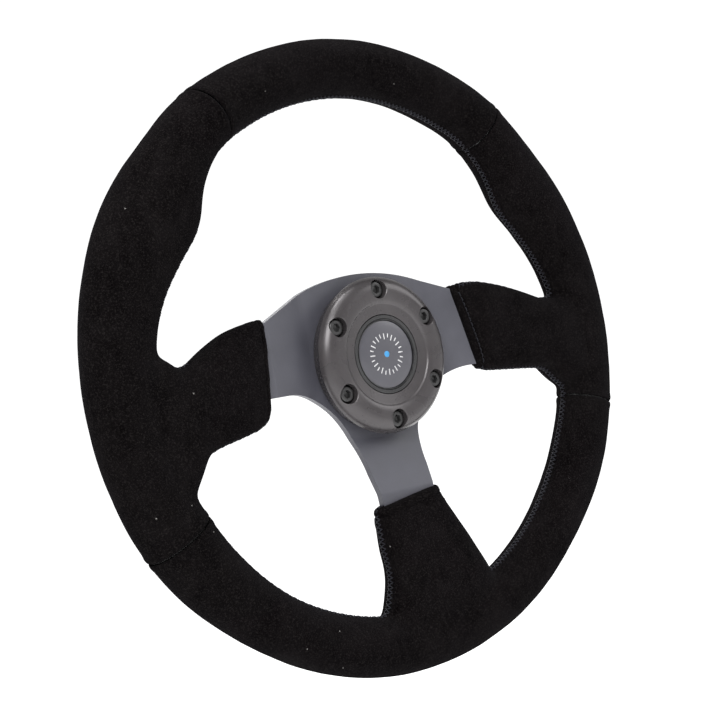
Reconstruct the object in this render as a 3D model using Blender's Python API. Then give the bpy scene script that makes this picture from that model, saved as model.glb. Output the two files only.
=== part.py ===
"""Sports steering wheel with a horn button and the wheel half of a quick release.

Frame: metres, +Z up, +X to the driver's right, +Y away from the driver along the
steering axis. The origin is the mouth of the quick release's socket, on the axis.
Every size below is a named value; a gap of FIT parts pieces that rest on each other.
"""
from math import acos, asin, ceil, copysign, cos, floor, pi, radians, sin, sqrt, tan

import bmesh
import bpy
from mathutils import Matrix, Vector

MM = 0.001
FIT = 0.3 * MM                      # gap between pieces that touch
RUNNING = 0.3 * MM                  # gap round a piece that slides

# --- stack along the steering axis, from the socket's mouth towards the driver ---
SLEEVE_LENGTH = 31.7 * MM           # socket mouth to the back of the flange
FLANGE_THICKNESS = 6.0 * MM
PLATE_THICKNESS = 4.0 * MM
RING_DEPTH = 14.3 * MM              # horn ring, plate to crest
RIM_OFFSET = 9.2 * MM               # rim's middle plane in front of the plate's front

# --- rim: angle from the top, middle's offset from the hoop, half width, half depth ---
HOOP_RADIUS = 155.0 * MM            # steel hoop inside the foam; sets the wheel's size
RIM_STATIONS = (
    (0, 0.8, 15.4, 18.3),
    (24, 0.7, 15.4, 18.3),
    (36, 1.0, 16.0, 17.9),
    (42, 0.0, 16.4, 17.4),
    (48, -3.4, 20.0, 16.6),
    (54, -5.3, 23.5, 15.4),
    (60, -4.4, 23.8, 14.6),
    (66, -2.4, 22.3, 14.2),
    (78, 0.3, 19.0, 14.2),
    (90, 0.8, 18.4, 14.4),
    (108, 1.2, 18.2, 14.2),
    (120, 0.7, 18.6, 14.2),
    (132, -0.5, 16.6, 15.1),
    (144, -1.1, 15.3, 16.1),
    (180, -1.9, 15.2, 16.3),
)
RIM_SEGMENTS = 40                   # sections round the rim
RIM_SIDES = 12                      # points round a section
HOOP_BAR = 5.0 * MM                 # radius of the hoop's bar
HOOP_SIDES = 6
SUEDE = 1.3 * MM                    # thickness of the cover
SEAM_GAP = 0.3 * MM
SEAMS = {"upper_left": -34.0, "upper_right": 38.0, "lower_right": 107.0, "lower_left": -117.0}

# --- sleeves over the spokes: distance of the mouth from the axis, then stations outwards:
# --- share of the way from the mouth to the hoop, low and high edge, half depth, lean ---
SLEEVES = {
    "left": (76.8, (
        (0.0, -22.6, 26.8, 4.9, -0.09),
        (0.08, -26.2, 26.2, 8.0, -0.05),
        (0.23, -29.0, 23.6, 10.8, 0.0),
        (0.42, -32.0, 16.4, 12.4, 0.0),
        (0.53, -35.5, 10.5, 12.8, 0.0),
        (0.61, -45.0, 7.5, 13.0, 0.0),
        (0.73, -58.0, 14.0, 13.0, 0.0),
        (0.97, -66.0, 22.0, 11.5, 0.0),
    )),
    "right": (62.5, (
        (0.0, -15.4, 33.2, 4.9, -0.19),
        (0.08, -17.2, 33.6, 8.0, -0.14),
        (0.32, -19.0, 29.4, 10.8, 0.0),
        (0.51, -20.6, 23.8, 12.4, 0.0),
        (0.61, -22.4, 20.2, 12.8, 0.0),
        (0.68, -29.0, 18.6, 13.0, 0.0),
        (0.78, -36.0, 19.0, 13.0, 0.0),
        (0.97, -42.0, 22.0, 11.5, 0.0),
    )),
    "bottom": (76.8, (
        (0.0, -20.6, 19.8, 4.9, -0.12),
        (0.09, -22.4, 24.0, 8.0, -0.05),
        (0.30, -21.8, 33.5, 10.8, 0.0),
        (0.48, -20.0, 40.6, 12.4, 0.0),
        (0.64, -23.0, 46.8, 13.0, 0.0),
        (0.94, -36.0, 52.5, 11.5, 0.0),
    )),
}
LEAD_IN = 2.0                       # a cutter for a sleeve's throat begins this far before it
SQUARENESS = 0.62                   # 1 makes a sleeve's section an ellipse, less nears a rectangle
SLEEVE_SIDES = 12

# --- spoke plate, in its own plane ---
BEND_RADIUS = 42.0 * MM             # spokes bend towards the driver from here
BEND_ANGLE = radians(20.0)
ARCH_TOP = 45.6 * MM                # height of the plate's upper edge over the axis
ARCH_RADIUS = 120.0 * MM
ARCH_SPAN = 46.5 * MM               # the arch runs straight beyond this
SIDE_LOW = 13.2 * MM                # side spoke's lower edge, below the axis
SIDE_TIP_HIGH = 4.0 * MM            # side spoke's end at the hoop, upper and lower edge
SIDE_TIP_LOW = -9.0 * MM
ARMPIT_X = 62.0 * MM                # centre of the curve between two spokes
ARMPIT_Z = -62.0 * MM
FOOT_TOP = 19.2 * MM                # bottom spoke's half width where that curve ends
FOOT_MOUTH = 18.0 * MM              # at its sleeve
FOOT_TIP = 12.0 * MM                # at the hoop
SPOKE_MOUTH = 74.0 * MM
SPOKE_TIP = HOOP_RADIUS - HOOP_BAR - FIT
TIP_CURVE = 1.4                     # how fast the upper edge falls inside a sleeve, 1 is straight

# --- bolts ---
BOLT_CIRCLE = 35.0 * MM             # radius
BOLT_COUNT = 6
BOLT_SHANK = 2.5 * MM
BOLT_HEAD = 4.25 * MM
BOLT_HEAD_HEIGHT = 5.0 * MM
BOLT_KEY = 2.3 * MM                 # corner radius of the hexagon socket
BOLT_KEY_DEPTH = 2.6 * MM
HEAD_SINK = 2.5 * MM                # head's top below the ring's crest
COUNTERBORE = BOLT_HEAD + 0.95 * MM

# --- horn ring ---
RING_OUTER = BOLT_CIRCLE + 7.3 * MM
RING_EDGE = 8.0 * MM                # rounding of the outer front edge
RING_EDGE_END = 15.0                # degrees before square where that rounding stops, at a sharp edge
RING_STEP_IN = 0.8 * MM             # the side steps in behind that edge
RING_TAPER = 2.6 * MM               # and narrows to the back
RING_BORE = 21.4 * MM
RING_DISH = 2.5 * MM                # bore's mouth below the crest
RING_STEP = RING_BORE + 6.1 * MM    # where the dish begins
DISH_LEDGE = 1.2 * MM               # drop below the crest at that step
RING_POCKET = RING_BORE + 1.5 * MM  # rear recess that traps the housing's lip
RING_POCKET_DEPTH = 1.8 * MM
CENTRE_HOLE = RING_BORE + 0.4 * MM  # through the plate

# --- horn button ---
HOUSING_WALL = 1.2 * MM
HOUSING_FLOOR_WALL = 1.5 * MM
LIP_REACH = 1.9 * MM                # the housing's front lip, inwards
LIP_DEPTH = 2.4 * MM
CAP_FLANGE_REACH = 0.6 * MM         # the cap's flange, outwards behind that lip
CAP_DEPTH = 6.0 * MM
CAP_WALL = 1.5 * MM
CAP_BAND = 0.75 * MM                # cap's rim round the emblem
EMBLEM_EDGE = 0.9 * MM
EMBLEM_DOME = 0.7 * MM
BUTTON_TRAVEL = 1.5 * MM
CONTACT_GAP = 0.1 * MM              # left between the contacts at full travel
CONTACT_THICKNESS = 0.8 * MM
CONTACT_WIDTH = 4.0 * MM
CONTACT_EDGE = 3.4 * MM             # from the housing's wall
HORN_SPRING_RADIUS = 3.2 * MM
HORN_SPRING_WIRE = 0.45 * MM
HORN_SPRING_TURNS = 4.25
BLADE_WIDTH = 4.8 * MM
BLADE_THICKNESS = 0.8 * MM
BLADE_LENGTH = 8.0 * MM

# --- quick release ---
FLANGE_LOBE = BOLT_CIRCLE + 5.5 * MM
FLANGE_VALLEY = BOLT_CIRCLE + 0.5 * MM
SOCKET_RADIUS = 11.0 * MM
SPLINE_COUNT = 12
SPLINE_TIP = SOCKET_RADIUS - 1.4 * MM
SPLINE_ROOT = SOCKET_RADIUS - 0.1 * MM
SPLINE_LENGTH = 9.5 * MM
SPLINE_START = 17.5 * MM            # from the mouth
WIRE_BORE = SOCKET_RADIUS + 2.0 * MM
MOUTH_CHAMFER = 1.0 * MM
BALL_RADIUS = 3.175 * MM
BALL_COUNT = 6
BALL_DEPTH = 13.6 * MM              # ball centres from the mouth
BALL_BITE = 0.875 * MM              # a locked ball reaches this far into the socket
BALL_PLAY = 0.225 * MM              # the hole is this much larger than the ball, its lip smaller
BALL_LIP_DEPTH = 0.8 * MM
BALL_PROUD = 0.075 * MM             # of the sleeve, locked
COLLAR_TRAVEL = 6.0 * MM
BALL_TRAVEL = 1.0 * MM
COLLAR_WALL = 3.2 * MM              # round the spring's pocket
COLLAR_CHAMFER = 0.8 * MM
GRIP_DEPTH = 0.7 * MM               # of the finger grooves
WAIST = (10.0 * MM, 11.5 * MM, 13.5 * MM, 15.0 * MM)    # waist's corners from the collar's start
WAIST_DEPTH = 1.2 * MM
COLLAR_END = 3.1 * MM               # from the mouth
COLLAR_LENGTH = 21.9 * MM
COLLAR_GRIPS = 12
LAND_LENGTH = 3.9 * MM
LIP_LENGTH = 2.1 * MM
SPRING_ROOM = 2.2 * MM              # from the sleeve to the spring's middle
SPRING_WIRE = 0.8 * MM
SPRING_PLAY = 0.9 * MM              # from the spring to its pocket
SPRING_TURNS = 4.25
SNAP_RING_THICKNESS = 1.2 * MM
SNAP_RING_REACH = 1.6 * MM          # outwards of the sleeve
SNAP_GROOVE_DEPTH = 1.0 * MM
SLEEVE_CHAMFER = 0.6 * MM
SNAP_RING_GAP = radians(40)

ROUND = 28                          # sides of a turned piece
ROUND_INSIDE = 24                   # and of one that is out of sight
OVERRUN = 1.0 * MM                  # a cutter goes this far past what it cuts

# --- radii, worked out from the sizes above ---
HOUSING_OUTER = RING_BORE - FIT
RIM_LIP = HOUSING_OUTER - LIP_REACH
CAP_RADIUS = RIM_LIP - FIT
CAP_FLANGE = CAP_RADIUS + CAP_FLANGE_REACH
EMBLEM_RADIUS = CAP_RADIUS - CAP_BAND
CARRIER_OUTER = HOUSING_OUTER - HOUSING_WALL - FIT
CONTACT_OUTER = HOUSING_OUTER - HOUSING_WALL - CONTACT_EDGE
CONTACT_INNER = CONTACT_OUTER - CONTACT_WIDTH
CARRIER_INNER = CONTACT_INNER - 1.2 * MM
TERMINAL_X = CARRIER_INNER - 4.0 * MM
BALL_CENTRE = SOCKET_RADIUS + BALL_RADIUS - BALL_BITE
SLEEVE_RADIUS = BALL_CENTRE + BALL_RADIUS - BALL_PROUD
SPRING_RADIUS = SLEEVE_RADIUS + SPRING_ROOM
SPRING_POCKET = SPRING_RADIUS + SPRING_WIRE + SPRING_PLAY
COLLAR_RADIUS = SPRING_POCKET + COLLAR_WALL

# --- places along Y, worked out from the stack ---
FLANGE_BACK = -SLEEVE_LENGTH
FLANGE_FRONT = FLANGE_BACK - FLANGE_THICKNESS
PLATE_BACK = FLANGE_FRONT - FIT
PLATE_FRONT = PLATE_BACK - PLATE_THICKNESS
RING_BACK = PLATE_FRONT - FIT
RING_CREST = RING_BACK - RING_DEPTH
RIM_PLANE = PLATE_FRONT - RIM_OFFSET
HEAD_TOP = RING_CREST + HEAD_SINK
HEAD_SEAT = HEAD_TOP + BOLT_HEAD_HEIGHT
BOLT_HOLE = BOLT_SHANK + FIT


# ---------------------------------------------------------------- helpers
def material(name, colour, roughness, metallic):
    found = bpy.data.materials.get(name)
    if found:
        return found
    made = bpy.data.materials.new(name)
    made.use_nodes = True
    shader = made.node_tree.nodes["Principled BSDF"]
    shader.inputs["Base Color"].default_value = (*colour, 1.0)
    shader.inputs["Roughness"].default_value = roughness
    shader.inputs["Metallic"].default_value = metallic
    return made


def suede():
    return material("suede", (0.012, 0.011, 0.011), 0.95, 0.0)


def satin_black():
    return material("satin_black", (0.09, 0.095, 0.115), 0.45, 0.6)


def anodised():
    return material("anodised", (0.06, 0.055, 0.055), 0.4, 0.7)


def bolt_black():
    return material("bolt_black", (0.02, 0.02, 0.02), 0.4, 0.8)


def steel():
    return material("steel", (0.55, 0.55, 0.56), 0.35, 1.0)


def brass():
    return material("brass", (0.75, 0.58, 0.28), 0.35, 1.0)


def plastic():
    return material("plastic", (0.03, 0.03, 0.032), 0.5, 0.0)


def gloss():
    return material("gloss", (0.09, 0.09, 0.1), 0.1, 0.0)


def foam():
    return material("foam", (0.05, 0.05, 0.05), 0.9, 0.0)


def add_object(name, mesh_builder, finish, parent=None):
    """Turns a bmesh into a named object with outward faces."""
    bmesh.ops.recalc_face_normals(mesh_builder, faces=mesh_builder.faces)
    mesh = bpy.data.meshes.new(name)
    mesh_builder.to_mesh(mesh)
    mesh_builder.free()
    mesh.shade_smooth()
    mesh.set_sharp_from_angle(angle=radians(32))
    made = bpy.data.objects.new(name, mesh)
    bpy.context.scene.collection.objects.link(made)
    if finish:
        mesh.materials.append(finish)
    if parent:
        made.parent = parent
    return made


def cutter(name, mesh_builder):
    made = add_object(name, mesh_builder, None)
    made.hide_render = True
    made.display_type = "WIRE"
    return made


def boolean(target, tool, operation):
    step = target.modifiers.new(operation.lower() + "_" + tool.name, "BOOLEAN")
    step.object = tool
    step.operation = operation
    step.solver = "EXACT"


def empty(name, place):
    made = bpy.data.objects.new(name, None)
    made.location = place
    bpy.context.scene.collection.objects.link(made)
    return made


def loft(rings, closed=False, caps=True):
    """Skins a list of point rings, all with the same count, in triangles.

    The diagonals all run the same way, so that nested skins stay parallel.
    """
    built = bmesh.new()
    rows = [[built.verts.new(point) for point in ring] for ring in rings]
    count = len(rows[0])
    pairs = list(zip(rows, rows[1:]))
    if closed:
        pairs.append((rows[-1], rows[0]))
    for low, high in pairs:
        for i in range(count):
            j = (i + 1) % count
            built.faces.new((low[i], low[j], high[j]))
            built.faces.new((low[i], high[j], high[i]))
    if caps and not closed:
        built.faces.new(rows[0])
        built.faces.new(rows[-1])
    return built


def turned(profile, sides=ROUND, shape=None, turn=0.0):
    """Revolves a closed (radius, y) outline round the Y axis; zero radii meet on the axis."""
    built = bmesh.new()
    rows = []
    for radius, y in profile:
        if radius == 0:
            rows.append([built.verts.new((0, y, 0))] * sides)
            continue
        row = []
        for k in range(sides):
            angle = 2 * pi * k / sides + turn
            r = shape(radius, y, k, angle) if shape else radius
            row.append(built.verts.new((r * sin(angle), y, r * cos(angle))))
        rows.append(row)
    for low, high in zip(rows, rows[1:] + rows[:1]):
        for k in range(sides):
            n = (k + 1) % sides
            corners = []
            for vert in (low[k], low[n], high[n], high[k]):
                if vert not in corners:
                    corners.append(vert)
            if len(corners) > 2:
                built.faces.new(corners)
    return built


def rounded(centre, radius, start, end, steps):
    """Points of an arc in a (radius, y) outline, angles in degrees."""
    points = []
    for i in range(steps + 1):
        a = radians(start + (end - start) * i / steps)
        points.append((centre[0] + radius * cos(a), centre[1] + radius * sin(a)))
    return points


def box(low, high):
    built = bmesh.new()
    bmesh.ops.create_cube(built, size=1.0)
    size = [b - a for a, b in zip(low, high)]
    middle = [(a + b) / 2 for a, b in zip(low, high)]
    bmesh.ops.scale(built, vec=size, verts=built.verts)
    bmesh.ops.translate(built, vec=middle, verts=built.verts)
    return built


def merge(first, second):
    """Adds the second bmesh's geometry to the first."""
    spare = bpy.data.meshes.new("spare")
    second.to_mesh(spare)
    second.free()
    first.from_mesh(spare)
    bpy.data.meshes.remove(spare)
    return first


def coil(radius, wire, start, end, turns, steps_per_turn, sides):
    """A spring along Y as one closed tube."""
    rings = []
    count = ceil(turns * steps_per_turn)
    for i in range(count + 1):
        angle = 2 * pi * turns * i / count
        y = start + (end - start) * i / count
        outward = Vector((sin(angle), 0, cos(angle)))
        centre = outward * radius + Vector((0, y, 0))
        ring = []
        for k in range(sides):
            a = 2 * pi * k / sides
            ring.append(centre + outward * (wire * cos(a)) + Vector((0, wire * sin(a), 0)))
        rings.append(ring)
    return loft(rings)


def on_bolt_circle(index, count=BOLT_COUNT, radius=BOLT_CIRCLE):
    angle = 2 * pi * index / count
    return Vector((radius * sin(angle), 0, radius * cos(angle)))


def through(radius, front, back):
    """Outline of a cutter for a plain hole between two faces."""
    return ((0, front - OVERRUN), (radius, front - OVERRUN), (radius, back + OVERRUN), (0, back + OVERRUN))


def drilled(profile, name):
    """Six turned cutters on the bolt circle, as one tool."""
    tools = bmesh.new()
    for index in range(BOLT_COUNT):
        one = turned(profile, 12)
        bmesh.ops.translate(one, vec=on_bolt_circle(index), verts=one.verts)
        merge(tools, one)
    return cutter(name, tools)


# ---------------------------------------------------------------- rim
def between(stations, value):
    """Reads a station list, in a straight line between neighbours."""
    if value <= stations[0][0]:
        return stations[0][1:]
    for before, after in zip(stations, stations[1:]):
        if value <= after[0]:
            t = (value - before[0]) / (after[0] - before[0])
            return [a + (b - a) * t for a, b in zip(before[1:], after[1:])]
    return stations[-1][1:]


def rim_section(angle, inset):
    """Points of the rim's section at an angle from the top, in degrees, right side positive."""
    around = abs((angle + 180) % 360 - 180)
    offset, width, depth = [v * MM for v in between(RIM_STATIONS, around)]
    outward = Vector((sin(radians(angle)), 0, cos(radians(angle))))
    points = []
    for k in range(RIM_SIDES):
        a = 2 * pi * k / RIM_SIDES
        radius = HOOP_RADIUS + offset + (width - inset) * cos(a)
        points.append(outward * radius + Vector((0, RIM_PLANE + (depth - inset) * sin(a), 0)))
    return points


def rim_arc(start, end, inset):
    """Length of rim between two angles; its ends lie on the whole rim's straight facets."""
    step = 360 / RIM_SEGMENTS
    sections = []
    for angle in (start, *inner_steps(start, end, step), end):
        facet = floor(angle / step)
        t = angle / step - facet
        pairs = zip(rim_section(facet * step, inset), rim_section((facet + 1) * step, inset))
        sections.append([low.lerp(high, t) for low, high in pairs])
    return loft(sections)


def inner_steps(start, end, step):
    """Multiples of a step that lie between two angles."""
    return [n * step for n in range(floor(start / step) + 1, ceil(end / step))]


def whole_rim(inset):
    angles = [360 * i / RIM_SEGMENTS for i in range(RIM_SEGMENTS)]
    return loft([rim_section(a, inset) for a in angles], closed=True)


def spoke_rise(distance):
    """How far a spoke's middle has come forward of the hub at a distance from the axis."""
    reach = RIM_OFFSET + PLATE_THICKNESS / 2
    return min(max(distance - BEND_RADIUS, 0) * tan(BEND_ANGLE), reach)


def spoke_middle(distance):
    return PLATE_FRONT + PLATE_THICKNESS / 2 - spoke_rise(distance)


def sleeve_stations(side):
    """A sleeve's stations, with their distances from the axis in millimetres."""
    mouth, rows = SLEEVES[side]
    length = HOOP_RADIUS / MM - mouth
    return tuple((mouth + share * length, *sizes) for share, *sizes in rows)


def sleeve(stations, side, inset):
    """Sleeve solid round a spoke, its stations running outwards from the mouth."""
    rings = []
    for distance, low, high, depth, lean in stations:
        middle = (low + high) / 2 * MM
        half = (high - low) / 2 * MM - inset
        thick = depth * MM - inset
        ring = []
        for k in range(SLEEVE_SIDES):
            a = 2 * pi * (k + 0.5) / SLEEVE_SIDES
            across = half * squared(cos(a))
            reach = distance * MM + lean * across
            y = spoke_middle(reach) + thick * squared(sin(a))
            if side == "bottom":
                ring.append(Vector((middle + across, y, -reach)))
            else:
                sign = 1 if side == "right" else -1
                ring.append(Vector((sign * reach, y, middle + across)))
        rings.append(ring)
    return loft(rings)


def squared(value):
    """Bends a cosine or sine so that a round section comes out nearer a rectangle."""
    return copysign(abs(value) ** SQUARENESS, value)


def led_in(stations):
    """The same sleeve, begun a little before its mouth, for a cutter that opens it."""
    first = stations[0]
    return ((first[0] - LEAD_IN, *first[1:]),) + stations


def plate_high(x):
    """Upper edge of the hub and of a side spoke, up to its sleeve."""
    centre = ARCH_TOP - ARCH_RADIUS
    if abs(x) <= ARCH_SPAN:
        return centre + sqrt(ARCH_RADIUS ** 2 - x ** 2)
    shoulder = sqrt(ARCH_RADIUS ** 2 - ARCH_SPAN ** 2)
    return centre + shoulder - ARCH_SPAN / shoulder * (abs(x) - ARCH_SPAN)


def side_edges(x, grow):
    """Lower and upper edge of a side spoke at a distance from the axis."""
    across = ARMPIT_X - FOOT_TOP - grow
    up = -SIDE_LOW - ARMPIT_Z - grow
    beyond = min(max((x - SPOKE_MOUTH) / (SPOKE_TIP - SPOKE_MOUTH), 0), 1)
    low = -SIDE_LOW - grow + (SIDE_LOW + SIDE_TIP_LOW) * beyond
    if x < ARMPIT_X:
        low = ARMPIT_Z + up * sqrt(1 - ((ARMPIT_X - x) / across) ** 2)
    high = plate_high(min(x, SPOKE_MOUTH))
    high += (SIDE_TIP_HIGH - high) * (1 - (1 - beyond) ** TIP_CURVE)
    return low, high + grow


def foot_half(z, grow):
    """Half width of the bottom spoke at a height."""
    across = ARMPIT_X - FOOT_TOP - grow
    up = -SIDE_LOW - ARMPIT_Z - grow
    if z > ARMPIT_Z:
        return ARMPIT_X - across * sqrt(1 - ((z - ARMPIT_Z) / up) ** 2)
    if z >= -SPOKE_MOUTH:
        down = (ARMPIT_Z - z) / (ARMPIT_Z + SPOKE_MOUTH)
        return FOOT_TOP + (FOOT_MOUTH - FOOT_TOP) * down + grow
    down = (-z - SPOKE_MOUTH) / (SPOKE_TIP - SPOKE_MOUTH)
    return FOOT_MOUTH + (FOOT_TIP - FOOT_MOUTH) * down + grow


def armpit_curve(grow, steps=4):
    """Points between the bend lines of the right side spoke and the bottom spoke."""
    across = ARMPIT_X - FOOT_TOP - grow
    up = -SIDE_LOW - ARMPIT_Z - grow
    first = acos((ARMPIT_X - BEND_RADIUS) / across)
    last = asin((-BEND_RADIUS - ARMPIT_Z) / up)
    points = []
    for i in range(1, steps):
        a = first + (last - first) * i / steps
        points.append((ARMPIT_X - across * cos(a), ARMPIT_Z + up * sin(a)))
    return points


def spaced(start, end, count):
    """Evenly spaced values from start to end, both included."""
    return [start + (end - start) * i / (count - 1) for i in range(count)]


def plate_blank(grow=0.0):
    """The bent three-spoke plate, before its holes; grow adds a clearance all round."""
    built = bmesh.new()
    level = BEND_RADIUS + (RIM_OFFSET + PLATE_THICKNESS / 2) / tan(BEND_ANGLE)
    tip = SPOKE_TIP + grow
    halfway = (level + SPOKE_TIP) / 2
    beyond = (SPOKE_MOUTH, level, halfway, tip)
    side_stations = sorted((*spaced(BEND_RADIUS, ARMPIT_X, 3), *beyond))
    foot_stations = sorted((*spaced(BEND_RADIUS, -ARMPIT_Z, 4), *beyond))

    def vert(x, z, distance=0.0):
        return built.verts.new((x, PLATE_FRONT - grow - spoke_rise(distance), z))

    spokes = {}
    for sign in (-1, 1):
        spokes[sign] = []
        for x in side_stations:
            low, high = side_edges(x, grow)
            spokes[sign].append((vert(sign * x, low, x), vert(sign * x, high, x)))
    foot = []
    for z in foot_stations:
        half = foot_half(-z, grow)
        foot.append((vert(-half, -z, z), vert(half, -z, z)))

    steps = 10
    arch = [BEND_RADIUS * (2 * i / steps - 1) for i in range(1, steps)]
    curve = armpit_curve(grow)
    hub = [spokes[-1][0][1]]
    hub += [vert(x, plate_high(x) + grow) for x in arch]
    hub += [spokes[1][0][1], spokes[1][0][0]]
    hub += [vert(x, z) for x, z in curve]
    hub += [foot[0][1], foot[0][0]]
    hub += [vert(-x, z) for x, z in reversed(curve)]
    hub.append(spokes[-1][0][0])
    built.faces.new(hub)
    for rungs in (*spokes.values(), foot):
        for (a, b), (c, d) in zip(rungs, rungs[1:]):
            built.faces.new((a, b, d, c))
    bmesh.ops.recalc_face_normals(built, faces=built.faces)
    made = bmesh.ops.extrude_face_region(built, geom=built.faces[:])
    moved = [v for v in made["geom"] if isinstance(v, bmesh.types.BMVert)]
    bmesh.ops.translate(built, vec=(0, PLATE_THICKNESS + 2 * grow, 0), verts=moved)
    return built


def build_plate():
    plate = add_object("spoke_plate", plate_blank(), satin_black())
    hole = turned(through(CENTRE_HOLE, PLATE_FRONT, PLATE_BACK))
    boolean(plate, cutter("plate_centre_hole", hole), "DIFFERENCE")
    bolt_holes = drilled(through(BOLT_HOLE, PLATE_FRONT, PLATE_BACK), "plate_bolt_holes")
    boolean(plate, bolt_holes, "DIFFERENCE")


def hoop_solid(grow):
    sections = []
    for i in range(RIM_SEGMENTS):
        a = 2 * pi * i / RIM_SEGMENTS
        outward = Vector((sin(a), 0, cos(a)))
        ring = []
        for k in range(HOOP_SIDES):
            b = 2 * pi * (k + 0.5) / HOOP_SIDES
            ring.append(outward * (HOOP_RADIUS + (HOOP_BAR + grow) * cos(b))
                        + Vector((0, RIM_PLANE + (HOOP_BAR + grow) * sin(b), 0)))
        sections.append(ring)
    return loft(sections, closed=True)


def build_rim():
    add_object("rim_hoop", hoop_solid(0), steel())
    plate_room = cutter("plate_room", plate_blank(FIT))
    core = add_object("rim_foam", whole_rim(SUEDE + FIT), foam())
    for side in SLEEVES:
        stub = sleeve(sleeve_stations(side)[1:], side, SUEDE + FIT)
        boolean(core, cutter("foam_stub_" + side, stub), "UNION")
    boolean(core, cutter("hoop_room", hoop_solid(FIT)), "DIFFERENCE")
    boolean(core, plate_room, "DIFFERENCE")

    gap = SEAM_GAP / (HOOP_RADIUS * pi / 180) / 2
    spans = {
        "suede_top": (SEAMS["upper_left"], SEAMS["upper_right"], None),
        "suede_right": (SEAMS["upper_right"], SEAMS["lower_right"], "right"),
        "suede_bottom": (SEAMS["lower_right"], SEAMS["lower_left"] + 360, "bottom"),
        "suede_left": (SEAMS["lower_left"], SEAMS["upper_left"], "left"),
    }
    for name, (start, end, spoke) in spans.items():
        panel = add_object(name, rim_arc(start + gap, end - gap, 0), suede())
        if spoke:
            outer = sleeve(sleeve_stations(spoke), spoke, 0)
            boolean(panel, cutter(name + "_sleeve", outer), "UNION")
        boolean(panel, cutter(name + "_core", rim_arc(start - 2, end + 2, SUEDE)), "DIFFERENCE")
        if spoke:
            inner = sleeve(led_in(sleeve_stations(spoke)), spoke, SUEDE)
            boolean(panel, cutter(name + "_throat", inner), "DIFFERENCE")
            boolean(panel, plate_room, "DIFFERENCE")


# ---------------------------------------------------------------- horn ring and bolts
def build_ring():
    dish = RING_CREST + RING_DISH
    centre = (RING_OUTER - RING_EDGE * cos(radians(RING_EDGE_END)), RING_CREST + RING_EDGE)
    edge_y = centre[1] - RING_EDGE * sin(radians(RING_EDGE_END))
    profile = [(RING_POCKET, RING_BACK), (RING_OUTER - RING_TAPER, RING_BACK),
               (RING_OUTER - RING_STEP_IN, edge_y + RING_STEP_IN)]
    profile += rounded(centre, RING_EDGE, -RING_EDGE_END, -90, 4)
    profile += [
        (RING_STEP + 4 * MM, RING_CREST + 0.3 * MM),
        (RING_STEP, RING_CREST + DISH_LEDGE),
        (RING_STEP - 0.4 * MM, RING_CREST + DISH_LEDGE + 0.5 * MM),
        (RING_BORE, dish),
        (RING_BORE, RING_BACK - RING_POCKET_DEPTH),
        (RING_POCKET, RING_BACK - RING_POCKET_DEPTH),
    ]
    ring = add_object("horn_ring", turned(profile), anodised())
    seat = HEAD_SEAT + FIT
    mouth = RING_CREST - OVERRUN
    end = RING_BACK + OVERRUN
    hole = ((0, mouth), (COUNTERBORE, mouth), (COUNTERBORE, seat), (BOLT_HOLE, seat),
            (BOLT_HOLE, end), (0, end))
    boolean(ring, drilled(hole, "ring_bolt_holes"), "DIFFERENCE")


def bolt_mesh():
    """Socket head screw, its axis on the origin's Y line."""
    sides = 12
    end = FLANGE_BACK - FIT
    chamfer = 0.5 * MM

    def key(radius, y, k, angle):
        if y in (HEAD_TOP, HEAD_TOP + BOLT_KEY_DEPTH) and radius == BOLT_KEY:
            return radius * cos(pi / 6) / cos((angle % (pi / 3)) - pi / 6)
        return radius

    profile = ((0, HEAD_TOP + BOLT_KEY_DEPTH), (BOLT_KEY, HEAD_TOP + BOLT_KEY_DEPTH),
               (BOLT_KEY, HEAD_TOP), (BOLT_HEAD - chamfer, HEAD_TOP),
               (BOLT_HEAD, HEAD_TOP + chamfer), (BOLT_HEAD, HEAD_SEAT),
               (BOLT_SHANK, HEAD_SEAT), (BOLT_SHANK, end - chamfer),
               (BOLT_SHANK - chamfer, end), (0, end))
    return turned(profile, sides, key)


def build_bolts():
    for index in range(BOLT_COUNT):
        bolt = add_object(f"ring_bolt_{index + 1}", bolt_mesh(), bolt_black())
        bolt.location = on_bolt_circle(index)


# ---------------------------------------------------------------- horn button
HOUSING_FRONT = RING_CREST + RING_DISH
HOUSING_BACK = PLATE_BACK - FIT
HOUSING_FLOOR = HOUSING_BACK - HOUSING_FLOOR_WALL
CAP_FRONT = HOUSING_FRONT
CAP_SHOULDER = HOUSING_FRONT + LIP_DEPTH + FIT
CAP_RECESS = CAP_FRONT + EMBLEM_DOME + EMBLEM_EDGE + FIT
CAP_BACK = CAP_SHOULDER + CAP_DEPTH - LIP_DEPTH
CONTACT_FRONT = CAP_BACK + FIT
FIXED_FRONT = CONTACT_FRONT + CONTACT_THICKNESS + BUTTON_TRAVEL + CONTACT_GAP
CARRIER_FRONT = FIXED_FRONT + CONTACT_THICKNESS + FIT


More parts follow.
